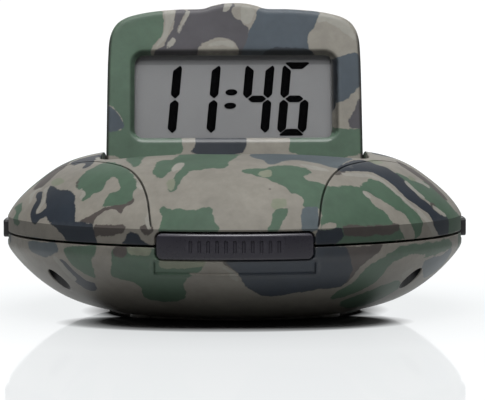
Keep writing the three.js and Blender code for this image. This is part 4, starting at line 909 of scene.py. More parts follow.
def build_bezel():
    skin = Skin()
    rf = 1.25
    side = [(31.9, w) for w in np.arange(BARREL_END, -0.3, 0.7)]
    path = np.vstack([side, resample(PANEL, 0.65, False), [(-u, w) for u, w in side[::-1]]])
    # path goes up the right side, over the top and down the left: its left hand is the panel
    inner = offset_path(path, rf)
    inner[0], inner[-1] = (31.9 - rf, BARREL_END), (-31.9 + rf, BARREL_END)
    foot = np.c_[np.linspace(-31.9 + rf, 31.9 - rf, 62)[1:-1], np.full(60, BARREL_END)]
    loop = np.vstack([inner, foot])
    x0, x1, y0, y1, wr = WINDOW
    hole = resample(rounded(x0, x1, y0, y1, wr, 14), 0.55, True)
    # a bevel round the top and sides, a full round along the sill, and a wider inner wall at the right
    bevel = [(1.45, 4.7), (1.28, 4.675), (1.1, 4.58), (0.73, 4.15), (0.36, 3.72), (0.24, 3.58), (0.14, 3.48), (0.0, 3.3), (0.0, 3.05)]
    sill = smooth((y0 + 1.6 - hole[:, 1]) / 1.4)[:, None]
    right = smooth((hole[:, 0] - x1 + 1.2) / 1.1)[:, None]
    steps = []
    for i, (grow, n) in enumerate(bevel):
        t = math.pi / 2 * min(i / 7, 1)
        grow = grow + sill * (1.45 * (1 - math.sin(t)) - grow) - right * (0, 0, 0, 0, 0, 0.12, 0.28, 0.5, 0.6)[i]
        steps.append((grow, n + sill * (4.7 - 1.4 * (1 - math.cos(t)) - n) if i < 8 else n + 0 * sill))
    mouth = offset_loop(hole, 1.45)
    gx, gy = np.meshgrid(np.arange(-32, 32, 0.6), np.arange(BARREL_END + 0.4, 42, 0.52))
    gx[1::2] += 0.3
    grid = np.c_[gx.ravel(), gy.ravel()]
    grid = grid[inside(grid, loop) & ~inside(grid, mouth)]
    grid = grid[distance(grid, loop, True) > 0.35]
    grid = grid[distance(grid, mouth, True) > 0.35]
    xy, tri, spans = field([loop, mouth], [], grid, lambda m: inside(m, loop) & ~inside(m, mouth))
    ids = skin.sheet(front_of(xy[:, 0], xy[:, 1], np.zeros(len(xy))), tri)
    last = [ids[i] for i in spans[1]]
    for grow, n in steps[1:]:
        out = offset_loop(hole, grow)
        new = skin.add(on_display(out[:, 0], out[:, 1], n[:, 0]))
        skin.bridge(last, new)
        last = new
    out = offset_loop(hole, 1.2)
    new = skin.add(on_display(out[:, 0], out[:, 1], np.full(len(out), 3.02)))
    skin.bridge(last, new)
    last = [ids[i] for i in spans[0][: len(path)]]
    for k in range(1, 6):
        t = math.pi / 2 * k / 5
        out = offset_path(path, rf * (1 - math.sin(t)))
        out[0, 1] = out[-1, 1] = BARREL_END
        new = skin.add(front_of(out[:, 0], out[:, 1], np.full(len(out), rf * (1 - math.cos(t)))))
        skin.bridge(last, new, False)
        last = new
    v = np.where(path[:, 1] >= 0, path[:, 1], (BARREL - rf) * np.sin(np.minimum(path[:, 1], 0) / BARREL))
    for n, inset in ((BEZEL_BACK + 0.25, 0.0), (BEZEL_BACK + 0.07, 0.07), (BEZEL_BACK, 0.25), (BEZEL_BACK, 1.6)):
        out = offset_path(path, inset)
        keep = np.where(path[:, 1] >= 0, out[:, 1], v)
        new = skin.add(on_display(out[:, 0], keep, np.full(len(out), n)))
        skin.bridge(last, new, False)
        last = new
    return skin


def cover_n(u, v):
    """Rear crown of the display: it continues the dome when the display lies closed."""
    # closed: the display's up runs to the front and its rear faces up
    y = HINGE_Y - np.maximum(v, 0)
    r = np.hypot(u, y)
    crown = top_z(r) - HINGE_Z
    limit = 4.7 + np.clip(v, 0, 11) * (1.2 / 11)
    return -np.minimum(crown - 0.15, np.where(v < 11, limit, 99))


def build_cover():
    skin = Skin()
    rf = 0.7
    w_end = -BARREL * (math.pi - math.acos(BEZEL_BACK / BARREL)) + 0.3
    side = [(31.9, w) for w in np.arange(w_end, -0.3, 0.7)]
    path = np.vstack([side, resample(PANEL, 0.65, False), [(-u, w) for u, w in side[::-1]]])
    inner = offset_path(path, rf)
    inner[0], inner[-1] = (31.9 - rf, w_end), (-31.9 + rf, w_end)
    foot = np.c_[np.linspace(-31.9 + rf, 31.9 - rf, 62)[1:-1], np.full(60, w_end)]
    loop = np.vstack([inner, foot])

    def place(u, w, drop):
        t = np.minimum(w, 0) / BARREL
        r = BARREL - drop
        flat = cover_n(u, np.maximum(w, 0)) + drop
        v = np.where(w >= 0, w, r * np.sin(t))
        n = np.where(w >= 0, np.minimum(flat, COVER_BACK), -r * np.cos(t))
        return on_display(u, v, n)

    holes = [ring(x, 34.5, 2.1, 36) for x in (-22.0, 22.0)]
    grown = [offset_loop(h, 0.25) for h in holes]
    gx, gy = np.meshgrid(np.arange(-32, 32, 0.9), np.arange(w_end + 0.4, 42, 0.8))
    gx[1::2] += 0.45
    grid = np.c_[gx.ravel(), gy.ravel()]
    grid = grid[inside(grid, loop)]
    grid = grid[distance(grid, loop, True) > 0.35]
    for h in grown:
        grid = grid[~inside(grid, h)]
        grid = grid[distance(grid, h, True) > 0.3]
    xy, tri, spans = field(
        [loop] + grown, [], grid, lambda m: inside(m, loop) & ~np.any([inside(m, h) for h in grown], axis=0)
    )
    ids = skin.sheet(place(xy[:, 0], xy[:, 1], np.zeros(len(xy))), tri)
    for h, span in zip(holes, spans[1:]):
        last = [ids[i] for i in span]
        top = np.array([cover_n(np.array([u]), np.array([v]))[0] for u, v in h])
        for grow, n in ((0.06, top + 0.06), (0.0, top + 0.25), (0.0, np.full(len(h), -3.3))):
            out = offset_loop(h, grow)
            new = skin.add(on_display(out[:, 0], out[:, 1], n))
            skin.bridge(last, new)
            last = new
        skin.cap(last)
    last = [ids[i] for i in spans[0][: len(path)]]
    for k in range(1, 5):
        t = math.pi / 2 * k / 4
        out = offset_path(path, rf * (1 - math.sin(t)))
        out[0, 1] = out[-1, 1] = w_end
        new = skin.add(place(out[:, 0], out[:, 1], np.full(len(out), rf * (1 - math.cos(t)))))
        skin.bridge(last, new, False)
        last = new
    v = np.where(path[:, 1] >= 0, path[:, 1], (BARREL - rf) * np.sin(np.minimum(path[:, 1], 0) / BARREL))
    for n, inset in ((COVER_BACK - 0.2, 0.0), (COVER_BACK - 0.06, 0.06), (COVER_BACK, 0.2), (COVER_BACK, 1.6)):
        out = offset_path(path, inset)
        keep = np.where(path[:, 1] >= 0, out[:, 1], v)
        new = skin.add(on_display(out[:, 0], keep, np.full(len(out), n)))
        skin.bridge(last, new, False)
        last = new
    return skin

# ------------------------------------------------------------------ controls, feet and screws


def build_bar():
    skin = Skin()
    loop = resample(rounded(-17.8, 17.8, -2.98, 2.98, 1.3, 10), 0.45, True)

    def place(p, q, h):
        return np.c_[p, -np.sqrt(55.25**2 - p**2) - h, SEAM + 0.08 + q]

    def height(p, q):
        h = -0.16 * (np.abs(q) / 2.98) ** 2.4
        for i in range(-5, 6):
            d = np.maximum(np.abs(p - 2.0 * i) - 0.22, np.abs(q) - 1.25)
            h = h - 0.3 * (1 - smooth(d / 0.16))
        return h

    lines = []
    for i in range(-5, 6):
        for grow in (0.02, 0.17):
            r = resample(rounded(2 * i - 0.22 - grow, 2 * i + 0.22 + grow, -1.25 - grow, 1.25 + grow, 0.15, 3), 0.3, True)
            lines.append(np.vstack([r, r[:1]])[:-1])
    pad(skin, loop, place, fillet=0.62, depth=3.4, height=height, step=0.45, paths=lines, steps=6)
    return skin


def build_knob(sx):
    skin = Skin()
    loop = resample(rounded(-4.5, 4.5, -2.1, 2.1, 0.7, 8), 0.3, True)

    def place(p, q, h):
        return np.c_[sx * (56.1 + h), p, np.full(len(p), SEAM + 0.8) + q]

    def place_all(p, q, h):
        return np.c_[sx * (56.1 + np.asarray(h) + 0 * p), p, SEAM + 0.8 + q]

    def height(p, q):
        h = -0.12 * (p / 4.5) ** 2
        for y in (-2.7, -0.9, 0.9, 2.7):
            h = h - 0.4 * (1 - smooth((np.abs(p - y) - 0.22) / 0.2))
        return h

    lines = []
    for y in (-2.7, -0.9, 0.9, 2.7):
        for d in (-0.42, -0.22, 0.22, 0.42):
            lines.append(np.c_[np.full(9, y + d), np.linspace(-1.55, 1.55, 9)])
    pad(skin, loop, place_all, fillet=0.4, depth=2.8, height=height, step=0.4, paths=lines, steps=5)
    return skin


def build_key(x):
    skin = Skin()
    loop = resample(rounded(x - 4, x + 4, -2.5, 2.5, 1.6, 10), 0.35, True)

    def place(p, q, h):
        return np.c_[p, q, 29.5 + np.asarray(h) + 0 * p]

    def height(p, q):
        return -0.22 * np.clip(1 - ((p - x) / 3.4) ** 2 - (q / 2.1) ** 2, 0, 1)

    pad(skin, loop, place, fillet=0.55, depth=2.4, height=height, step=0.45, steps=5)
    return skin


def build_foot(x, y):
    skin = Skin()
    loop = ring(x, y, 4.0, 56)

    def place(p, q, h):
        return np.c_[p, q, -np.asarray(h) + 0 * p]

    def height(p, q):
        r = np.hypot(p - x, q - y)
        return -0.12 * (1 - smooth((np.abs(r - 2.4) - 0.12) / 0.15))

    circles = [ring(x, y, r, 40) for r in (2.1, 2.28, 2.52, 2.7)]
    pad(skin, loop, place, fillet=0.3, depth=0.9, height=height, step=0.5, paths=circles, steps=4)
    return skin


def build_screw(place, r, shank, length):
    """Pan head with a cross recess, and its threaded shank; place(p, q, h) puts its face."""
    skin = Skin()
    loop = ring(0, 0, r, 48)
    arm, w = r * 0.58, r * 0.15

    def height(p, q):
        cross = np.minimum(
            np.maximum(np.abs(p) - arm, np.abs(q) - w), np.maximum(np.abs(q) - arm, np.abs(p) - w)
        )
        dome = -0.16 * (p * p + q * q) / r**2
        return dome - 0.62 * (1 - smooth((cross + 0.02) / 0.09))

    lines = []
    for g in (0.0, 0.1):
        a, b = arm + g, w + g
        lines.append(
            np.array([(a, -b), (a, b), (b, b), (b, a), (-b, a), (-b, b), (-a, b), (-a, -b), (-b, -b), (-b, -a), (b, -a), (b, -b), (a, -b)])[:-1]
        )
    last = pad(skin, loop, place, fillet=0.32, depth=1.3, height=height, step=0.22, paths=lines, steps=4, floor=False)
    turns = int(length / 0.3)
    for i in range(turns + 1):
        q = loop * (shank / r * (1.0 if i % 2 else 0.84))
        new = skin.add(place(q[:, 0], q[:, 1], np.full(len(q), -1.3 - length * i / turns)))
        skin.bridge(last, new)
        last = new
    q = loop * (shank / r * 0.3)
    new = skin.add(place(q[:, 0], q[:, 1], np.full(len(q), -1.3 - length - shank * 0.8)))
    skin.bridge(last, new)
    skin.cap(new)
    return skin


def prism(skin, outline, x0, x1):
    """Closed bar along x over an outline in y and z, its ends slightly chamfered."""
    c = 0.12
    small = offset_loop(outline, -c)
    rows = [(small, x0), (outline, x0 + c), (outline, x1 - c), (small, x1)]
    ids = [skin.add(np.c_[np.full(len(q), x), q]) for q, x in rows]
    for a, b in zip(ids[:-1], ids[1:]):
        skin.bridge(a, b)
    skin.cap(ids[0])
    skin.cap(ids[-1])


DOOR_GRIPS = (16.5, 18.0, 19.5, 21.0)


def build_door():
    skin = Skin()
    loop = resample(rounded(-12.6, 12.6, -25.6, 26.0, 0.8, 8), 0.6, True)

    def place(p, q, h):
        return np.c_[p, q, 0.6 - np.asarray(h) + 0 * p]

    def height(p, q):
        h = np.zeros(len(p))
        for y in DOOR_GRIPS:
            d = np.maximum(np.abs(p) - 5.0, np.abs(q - y) - 0.3)
            h = h - 0.4 * (1 - smooth((d + 0.05) / 0.16))
        return h

    lines = []
    for y in DOOR_GRIPS:
        for g in (-0.06, 0.12):
            lines.append(resample(rounded(-5 - g, 5 + g, y - 0.3 - g, y + 0.3 + g, 0.2, 3), 0.45, True))
    pad(skin, loop, place, fillet=0.22, depth=1.3, height=height, step=0.62, paths=lines, steps=4)
    for x in (-10.35, 10.35):
        hook = np.array([(-25.2, 1.7), (-24.2, 1.7), (-24.2, 3.7), (-27.5, 3.7), (-27.5, 3.05), (-25.2, 3.05)])
        prism(skin, soften(hook, 0.18), x - 0.75, x + 0.75)
    latch = np.array([(23.3, 1.7), (24.1, 1.7), (24.1, 3.0), (24.9, 3.0), (24.9, 2.3), (25.6, 2.3), (25.6, 3.6), (23.3, 3.6)])
    prism(skin, soften(latch, 0.2), 1.0, 9.0)
    return skin


# ------------------------------------------------------------------ digits of the display

SLANT = 0.092
DIGIT_W, DIGIT_H, GAP = 5.1, 17.05, 0.14
STROKE, STROKE_FLAT = 2.2, 1.7  # widths of the upright and the level bars
DIGIT_FOOT = 8.4
SEGMENTS = {
    "a": ((0, 1), (1, 1)), "b": ((1, 1), (1, 0.5)), "c": ((1, 0.5), (1, 0)), "d": ((0, 0), (1, 0)),
    "e": ((0, 0.5), (0, 0)), "f": ((0, 1), (0, 0.5)), "g": ((0, 0.5), (1, 0.5)),
}


def soften(poly, r):
    """Rounds the corners of a closed outline."""
    p = np.array(poly, float)
    out = []
    for a, b, c in zip(np.roll(p, 1, 0), p, np.roll(p, -1, 0)):
        u, v = a - b, c - b
        u, v = u / np.linalg.norm(u) * min(r, np.linalg.norm(u) * 0.45), v / np.linalg.norm(v) * min(r, np.linalg.norm(v) * 0.45)
        out += [b + u * (1 - t) ** 2 + v * t**2 for t in (0.0, 0.25, 0.5, 0.75, 1.0)]
    return np.array(out)


def segment(cell, name):
    """Outline of one bar of a digit, anticlockwise."""
    (x0, y0), (x1, y1) = SEGMENTS[name]
    a = np.array([x0 * DIGIT_W, y0 * DIGIT_H])
    b = np.array([x1 * DIGIT_W, y1 * DIGIT_H])
    d = (b - a) / np.linalg.norm(b - a)
    n = np.array([-d[1], d[0]])
    a, b = a + d * GAP, b - d * GAP
    k, f = STROKE / 2, STROKE_FLAT / 2
    if name in "ad":
        # long outside edge, mitred inside
        s = 1 if name == "a" else -1
        out = [a + [-0.62, s * f * 0.75], a + [-0.25, s * f * 1.05], b + [0.25, s * f * 1.05], b + [0.62, s * f * 0.75], b + [-k * 0.95, -s * f], a + [k * 0.95, -s * f]]
    elif name == "g":
        out = [a + d * 0.1, a + d * k + n * f, b - d * k + n * f, b - d * 0.1, b - d * k - n * f, a + d * k - n * f]
    else:
        # upright bars: blunt towards the corner of the digit, pointed towards its middle
        s = 1 if x0 == 1 else -1
        top, bot = (a, b) if a[1] > b[1] else (b, a)
        o, i = np.array([s * k, 0]), np.array([-s * k, 0])
        up, dn = np.array([0, 1.0]), np.array([0, -1.0])
        if name in "bf":
            out = [top + o + dn * k * 0.35, top + o * 0.55 + up * k * 0.25, top + i + dn * k * 1.0, bot + i + up * k * 0.9, bot + o * 0.1, bot + o + up * k * 0.95]
        else:
            out = [top + o + dn * k * 0.75, top + o * 0.1, top + i + dn * k * 0.85, bot + i + up * k * 0.75, bot + o * 0.15 + dn * k * 0.3, bot + o + up * k * 0.55]
    out = np.array(out)
    area = 0.5 * np.sum(out[:, 0] * np.roll(out[:, 1], -1) - np.roll(out[:, 0], -1) * out[:, 1])
    out = soften(out if area > 0 else out[::-1], 0.3)
    y = out[:, 1]
    return np.c_[cell + out[:, 0] + SLANT * (y - DIGIT_H / 2), y + DIGIT_FOOT]


LCD_N = 1.75


def build_digits():
    skin = Skin()
    shapes = []
    for cell, bars in ((-20.0, "bc"), (-10.3, "bc"), (3.15, "bcfg"), (12.45, "acdefg")):
        shapes += [segment(cell, b) for b in bars]
    for u, v in ((-0.75, 18.65), (-1.05, 15.2)):
        t = np.arange(28) / 28 * 2 * math.pi
        shapes.append(np.c_[u + 1.5 * np.cos(t) + SLANT * 0.8 * np.sin(t), v + 0.8 * np.sin(t)])
    for loop in shapes:
        face = skin.add(on_display(loop[:, 0], loop[:, 1], np.full(len(loop), LCD_N + 0.09)))
        rim = offset_loop(loop, 0.0)
        back = skin.add(on_display(rim[:, 0], rim[:, 1], np.full(len(loop), LCD_N + 0.02)))
        skin.cap(face)
        skin.cap(back[::-1])
        skin.bridge(face, back)
    return skin


# ------------------------------------------------------------------ materials


def srgb(r, g, b):
    f = lambda c: c / 12.92 if c <= 0.04045 else ((c + 0.055) / 1.055) ** 2.4
    return (f(r / 255), f(g / 255), f(b / 255), 1.0)


class Look:
    def __init__(self, name, **sockets):
        self.m = bpy.data.materials.new(name)
        self.m.use_nodes = True
        self.t = self.m.node_tree
        self.b = next(n for n in self.t.nodes if n.type == "BSDF_PRINCIPLED")
        self.out = next(n for n in self.t.nodes if n.type == "OUTPUT_MATERIAL")
        self.at = self.t.nodes.new("ShaderNodeTexCoord").outputs["Object"]
        for k, v in sockets.items():
            self.b.inputs[k.replace("_", " ")].default_value = v

    def node(self, kind, **props):
        n = self.t.nodes.new(kind)
        for k, v in props.items():
            setattr(n, k, v)
        return n

    def put(self, socket, value):
        if hasattr(value, "is_output"):
            self.t.links.new(value, socket)
        else:
            socket.default_value = value

    def noise(self, scale, detail=2.0, rough=0.5, vector=None, distortion=0.0):
        n = self.node("ShaderNodeTexNoise")
        self.put(n.inputs["Vector"], vector or self.at)
        n.inputs["Scale"].default_value = scale
        n.inputs["Detail"].default_value = detail
        n.inputs["Roughness"].default_value = rough
        n.inputs["Distortion"].default_value = distortion
        return n.outputs["Fac"]

    def cells(self, scale, feature="F1", out="Distance"):
        n = self.node("ShaderNodeTexVoronoi", feature=feature)
        self.put(n.inputs["Vector"], self.at)
        n.inputs["Scale"].default_value = scale
        return n.outputs[out]

    def stretched(self, sx, sy, sz):
        n = self.node("ShaderNodeMapping")
        self.put(n.inputs["Vector"], self.at)
        n.inputs["Scale"].default_value = (sx, sy, sz)
        return n.outputs["Vector"]

    def math(self, op, a, b=0.0, clamp=False):
        n = self.node("ShaderNodeMath", operation=op, use_clamp=clamp)
        self.put(n.inputs[0], a)
        self.put(n.inputs[1], b)
        return n.outputs[0]

    def span(self, value, a, b, c, d):
        n = self.node("ShaderNodeMapRange")
        self.put(n.inputs["Value"], value)
        for k, v in (("From Min", a), ("From Max", b), ("To Min", c), ("To Max", d)):
            n.inputs[k].default_value = v
        return n.outputs["Result"]

    def mix(self, fac, a, b, blend="MIX"):
        n = self.node("ShaderNodeMix", data_type="RGBA", blend_type=blend)
        self.put(n.inputs["Factor"], fac)
        self.put(n.inputs[6], a)
        self.put(n.inputs[7], b)
        return n.outputs[2]

    def attr(self, name):
        return self.node("ShaderNodeAttribute", attribute_name=name).outputs["Fac"]

    def bump(self, *layers):
        last = None
        for height, strength, dist in layers:
            n = self.node("ShaderNodeBump")
            n.inputs["Strength"].default_value = strength
            n.inputs["Distance"].default_value = dist
            self.put(n.inputs["Height"], height)
            if last:
                self.put(n.inputs["Normal"], last)
            last = n.outputs["Normal"]
        self.put(self.b.inputs["Normal"], last)

    def edges(self, radius=0.0006):
        """Bright on outside corners, for handling wear."""
        n = self.node("ShaderNodeNewGeometry")
        return self.span(n.outputs["Pointiness"], 0.505, 0.56, 0.0, 1.0)

    def set(self, socket, value):
        self.put(self.b.inputs[socket], value)


TAN = srgb(146, 142, 133)
PRINT = (
    ("green", srgb(82, 105, 88), 0.12, 1.0), ("olive", srgb(133, 138, 120), 0.1, 0.9), ("tan", TAN, 0.08, 1.0),
    ("slate", srgb(90, 100, 105), 0.12, 0.8), ("brown", srgb(84, 78, 75), 0.14, 0.9), ("navy", srgb(46, 53, 62), 0.16, 0.8),
    ("pale", srgb(156, 154, 146), 0.08, 0.7),
)


def camo_look(name, gloss, rough, painted_light_gain=1.0, painted_sheen=0.0, tones=()):
    """Printed camouflage. The patch edges come from the distances stored on the mesh. A gain below 1 is painted shade
    and one above 1 is painted light; the haze mixes in a painted whitish sheen.
    """
    k = Look(name, IOR=1.49, Specular_IOR_Level=gloss)
    wobble = k.math("ADD", k.span(k.noise(900, 3, 0.6), 0.3, 0.7, -0.2, 0.2), k.span(k.noise(330, 2, 0.5), 0.3, 0.7, -0.3, 0.3))
    grain = k.noise(5200, 2)
    cloud = k.noise(55, 4, 0.6)
    mottle = k.noise(190, 3, 0.6)
    fine = k.noise(420, 3, 0.65)

    def shade(col, amount):
        col = tuple(c * painted_light_gain * (1 - painted_sheen) + 0.6 * painted_sheen for c in col[:3])
        lo = tuple(c * (1 - amount) for c in col) + (1,)
        hi = tuple(min(1, c * (1 + amount)) for c in col) + (1,)
        both = k.math("ADD", k.math("MULTIPLY", cloud, 0.5), k.math("MULTIPLY", mottle, 0.5))
        return k.mix(k.span(both, 0.34, 0.66, 0, 1), lo, hi)

    col = shade(TAN, 0.12)
    for layer, tone, amount, jag in PRINT:
        tone = dict(tones).get(layer, tone)
        d = k.math("ADD", k.attr("camo_" + layer), k.math("MULTIPLY", wobble, jag))
        col = k.mix(k.span(d, -0.13, 0.13, 0.0, 1.0), col, shade(tone, amount))
    # print mottle, painted shade in grooves, recesses, along edges and at the base, and faint rubbing
    col = k.mix(k.span(fine, 0.35, 0.75, 0.0, 0.16), col, (0.05 * painted_light_gain, 0.05 * painted_light_gain, 0.05 * painted_light_gain, 1), "MIX")
    col = k.mix(k.math("MULTIPLY", k.attr("painted_shade"), k.span(fine, 0.3, 0.7, 0.75, 1.0)), col, (0.007, 0.007, 0.007, 1))
    col = k.mix(k.math("MULTIPLY", k.edges(), 0.1 * painted_light_gain), col, (0.5, 0.48, 0.44, 1))
    k.set("Base Color", col)
    k.set("Roughness", k.span(k.math("ADD", k.math("MULTIPLY", cloud, 0.6), k.math("MULTIPLY", grain, 0.4)), 0.25, 0.75, *rough))
    k.bump((grain, 0.12, 0.00004), (k.noise(1500, 2), 0.05, 0.00008))
    return k.m


def plastic_look(name, col, rough=(0.35, 0.5), grain_scale=4200, grain=0.2, ior=1.49, gloss=0.5):
    k = Look(name, IOR=ior, Specular_IOR_Level=gloss)
    cloud = k.noise(70, 4, 0.6)
    g = k.cells(grain_scale)
    speck = k.noise(1300, 3)
    lo, hi = tuple(c * 0.86 for c in col[:3]) + (1,), tuple(min(1, c * 1.14) for c in col[:3]) + (1,)
    c = k.mix(k.span(cloud, 0.3, 0.7, 0, 1), lo, hi)
    worn = tuple(min(1, x * 1.5 + 0.03) for x in col[:3]) + (1,)
    c = k.mix(k.math("MULTIPLY", k.edges(), k.span(speck, 0.4, 0.7, 0.15, 0.6)), c, worn)
    k.set("Base Color", c)
    k.set("Roughness", k.span(k.math("ADD", k.math("MULTIPLY", cloud, 0.5), k.math("MULTIPLY", speck, 0.5)), 0.3, 0.7, *rough))
    k.bump((g, grain, 0.00005), (speck, 0.05, 0.0001))
    return k.m


def metal_look(name, col, rough=(0.22, 0.4), brushed=(40, 40, 2600)):
    k = Look(name, Metallic=1.0)
    lines = k.noise(1.0, 3, 0.6, k.stretched(*brushed))
    cloud = k.noise(160, 3)
    c = k.mix(k.span(cloud, 0.3, 0.7, 0, 1), tuple(x * 0.85 for x in col[:3]) + (1,), col)
    k.set("Base Color", c)
    k.set("Roughness", k.span(lines, 0.3, 0.7, *rough))
    k.bump((lines, 0.08, 0.00004))
    return k.m


def board_look(name):
    k = Look(name, IOR=1.5)
    brick = k.node("ShaderNodeTexBrick")
    k.put(brick.inputs["Vector"], k.at)
    brick.inputs["Scale"].default_value = 260
    brick.inputs["Mortar Size"].default_value = 0.03
    tracks = k.span(brick.outputs["Fac"], 0.0, 1.0, 0.0, 1.0)
    pads = k.span(k.cells(420), 0.12, 0.16, 1.0, 0.0)
    cloud = k.noise(130, 3)
    c = k.mix(k.span(cloud, 0.3, 0.7, 0, 1), (0.012, 0.085, 0.032, 1), (0.02, 0.12, 0.05, 1))
    c = k.mix(k.math("MULTIPLY", tracks, 0.6), c, (0.05, 0.2, 0.09, 1))
    c = k.mix(pads, c, (0.55, 0.52, 0.45, 1))
    k.set("Base Color", c)
    k.set("Roughness", k.span(cloud, 0.3, 0.7, 0.25, 0.45))
    k.bump((tracks, 0.1, 0.00005))
    return k.m


def rubber_look(name):
    k = Look(name, IOR=1.5, Specular_IOR_Level=0.3)
    cloud = k.noise(220, 4, 0.6)
    dust = k.noise(1800, 3, 0.7)
    c = k.mix(k.span(cloud, 0.3, 0.7, 0, 1), (0.012, 0.012, 0.013, 1), (0.028, 0.027, 0.027, 1))
    c = k.mix(k.span(dust, 0.62, 0.8, 0, 0.4), c, (0.16, 0.155, 0.145, 1))
    k.set("Base Color", c)
    k.set("Roughness", k.span(dust, 0.3, 0.7, 0.7, 0.9))
    k.bump((dust, 0.2, 0.00006))
    return k.m


def cell_look(name):
    k = Look(name, IOR=1.5, Coat_Weight=0.4)
    n = k.node("ShaderNodeSeparateXYZ")
    k.put(n.inputs[0], k.at)
    band = k.span(k.math("ABSOLUTE", n.outputs["Y"]), 0.0118, 0.0121, 0.0, 1.0)
    cloud = k.noise(180, 3)
    c = k.mix(k.span(cloud, 0.3, 0.7, 0, 1), (0.06, 0.065, 0.075, 1), (0.09, 0.095, 0.1, 1))
    c = k.mix(band, c, (0.42, 0.4, 0.36, 1))
    k.set("Base Color", c)
    k.set("Roughness", k.span(cloud, 0.3, 0.7, 0.24, 0.36))
    k.bump((k.noise(900, 2), 0.05, 0.00005))
    return k.m


def lcd_look(name):
    k = Look(name, IOR=1.5, Specular_IOR_Level=0.12)
    sparkle = k.noise(6500, 2, 0.6)
    cloud = k.noise(40, 3, 0.5)
    n = k.node("ShaderNodeSeparateXYZ")
    k.put(n.inputs[0], k.at)
    c = k.mix(k.span(cloud, 0.3, 0.7, 0, 1), srgb(167, 166, 166), srgb(174, 173, 173))
    c = k.mix(k.span(sparkle, 0.3, 0.75, 0.0, 0.22), c, srgb(126, 127, 128))
    # painted shadow of the bezel along the top and bottom of the glass, fainter down its sides; height up the display
    # in metres from the hinge line
    up = k.math("ADD", k.math("MULTIPLY", n.outputs["Y"], math.sin(LEAN)), k.math("MULTIPLY", n.outputs["Z"], math.cos(LEAN)))
    up = k.math("SUBTRACT", up, (HINGE_Y * math.sin(LEAN) + HINGE_Z * math.cos(LEAN)) / 1000)
    bezel_shadow = k.math("MAXIMUM", k.span(up, 0.0256, 0.0259, 0.0, 0.34), k.span(up, 0.0064, 0.0072, 0.3, 0.0))
    bezel_shadow = k.math("MAXIMUM", bezel_shadow, k.span(k.math("ABSOLUTE", n.outputs["X"]), 0.0226, 0.025, 0.0, 0.16))
    c = k.mix(bezel_shadow, c, srgb(66, 67, 69))
    k.set("Base Color", c)
    k.set("Roughness", k.span(sparkle, 0.3, 0.7, 0.28, 0.42))
    k.bump((sparkle, 0.08, 0.00003))
    return k.m


def digit_look(name):
    k = Look(name, IOR=1.5, Specular_IOR_Level=0.02)
    cloud = k.noise(300, 3)
    k.set("Base Color", k.mix(k.span(cloud, 0.3, 0.7, 0, 1), srgb(3, 3, 4), srgb(6, 6, 7)))
    k.set("Roughness", k.span(cloud, 0.3, 0.7, 0.6, 0.75))
    return k.m


def lens_look(name):
    k = Look(name)
    clear = k.node("ShaderNodeBsdfTransparent")
    clear.inputs["Color"].default_value = (0.97, 0.975, 0.98, 1)
    gloss = k.node("ShaderNodeBsdfGlossy")
    gloss.inputs["Color"].default_value = (1, 1, 1, 1)
    k.put(gloss.inputs["Roughness"], k.span(k.noise(900, 3), 0.3, 0.7, 0.03, 0.09))
    fres = k.node("ShaderNodeFresnel")
    fres.inputs["IOR"].default_value = 1.45
    both = k.node("ShaderNodeMixShader")
    k.put(both.inputs[0], k.math("MULTIPLY", fres.outputs[0], 0.07))
    k.put(both.inputs[1], clear.outputs[0])
    k.put(both.inputs[2], gloss.outputs[0])
    k.t.nodes.remove(k.b)
    k.put(k.out.inputs["Surface"], both.outputs[0])
    return k.m


camo = camo_look("camo_print", 0.15, (0.42, 0.54))
camo_low = camo_look("camo_base_print", 0.4, (0.38, 0.5))
# a darker copy of the print for the upright band: painted shade
camo_band_shaded = camo_look("camo_band_painted_shade", 0.2, (0.48, 0.6), painted_light_gain=0.58)
# a lighter copy of the print with a faint whitish haze for the display: painted light and painted sheen
camo_panel_lit = camo_look(
    "camo_panel_painted_light", 0.4, (0.34, 0.44), painted_light_gain=1.26, painted_sheen=0.005,
    tones=(("slate", srgb(74, 84, 93)), ("brown", srgb(80, 78, 83)), ("navy", srgb(44, 50, 58))),
)
# a lighter, glossier copy of the print for the window's sill: painted highlight
camo_sill_highlight = camo_look(
    "camo_sill_painted_highlight", 0.8, (0.3, 0.38), painted_light_gain=1.3, painted_sheen=0.03,
    tones=(("slate", srgb(74, 84, 93)), ("brown", srgb(80, 78, 83)), ("navy", srgb(44, 50, 58))),
)
grey = plastic_look("grey_plastic", srgb(45, 43, 51), (0.24, 0.34), 5200, 0.1, gloss=0.36)
# a lighter grey for the snooze bar's top edge: painted highlight
grey_top_highlight = plastic_look("grey_painted_highlight_plastic", srgb(84, 82, 90), (0.16, 0.22), 5200, 0.05, gloss=1.0)
black = plastic_look("black_plastic", srgb(26, 26, 28), (0.38, 0.52), 4200, 0.2)
white = plastic_look("white_plastic", srgb(232, 232, 226), (0.4, 0.5), 5200, 0.06)
key_grey = plastic_look("key_plastic", srgb(70, 68, 74), (0.4, 0.52), 4600, 0.12)
rubber = rubber_look("rubber")
board = board_look("board")
steel = metal_look("steel", (0.56, 0.57, 0.58, 1))
brass = metal_look("brass", (0.6, 0.46, 0.21, 1))
jacket = cell_look("cell_jacket")
lcd = lcd_look("lcd")
digit = digit_look("lcd_digit")
lens = lens_look("clear_lens")

SLOT_LOOK = {
    "camo_shell": camo, "grey_plastic": grey, "black_plastic": black, "rubber": rubber, "board": board, "steel": steel,
    "brass": brass, "cell_jacket": jacket, "clear_lens": lens, "lcd": lcd, "white_plastic": white,
}
NODE_SLOT = {
    "battery_door": "camo_shell",
    "main_pcb": "board", "keypad_pcb": "board", "display_pcb": "board",
    "vibration_motor": "steel", "motor_bracket": "steel", "motor_shaft": "steel", "eccentric_weight": "brass",
    "hinge_pin_right": "steel", "hinge_trunnion_left": "steel",
    "display_lens": "clear_lens", "lcd_glass": "lcd", "lcd_light_guide": "white_plastic", "backlight_led": "white_plastic",
}

# ------------------------------------------------------------------ assemble


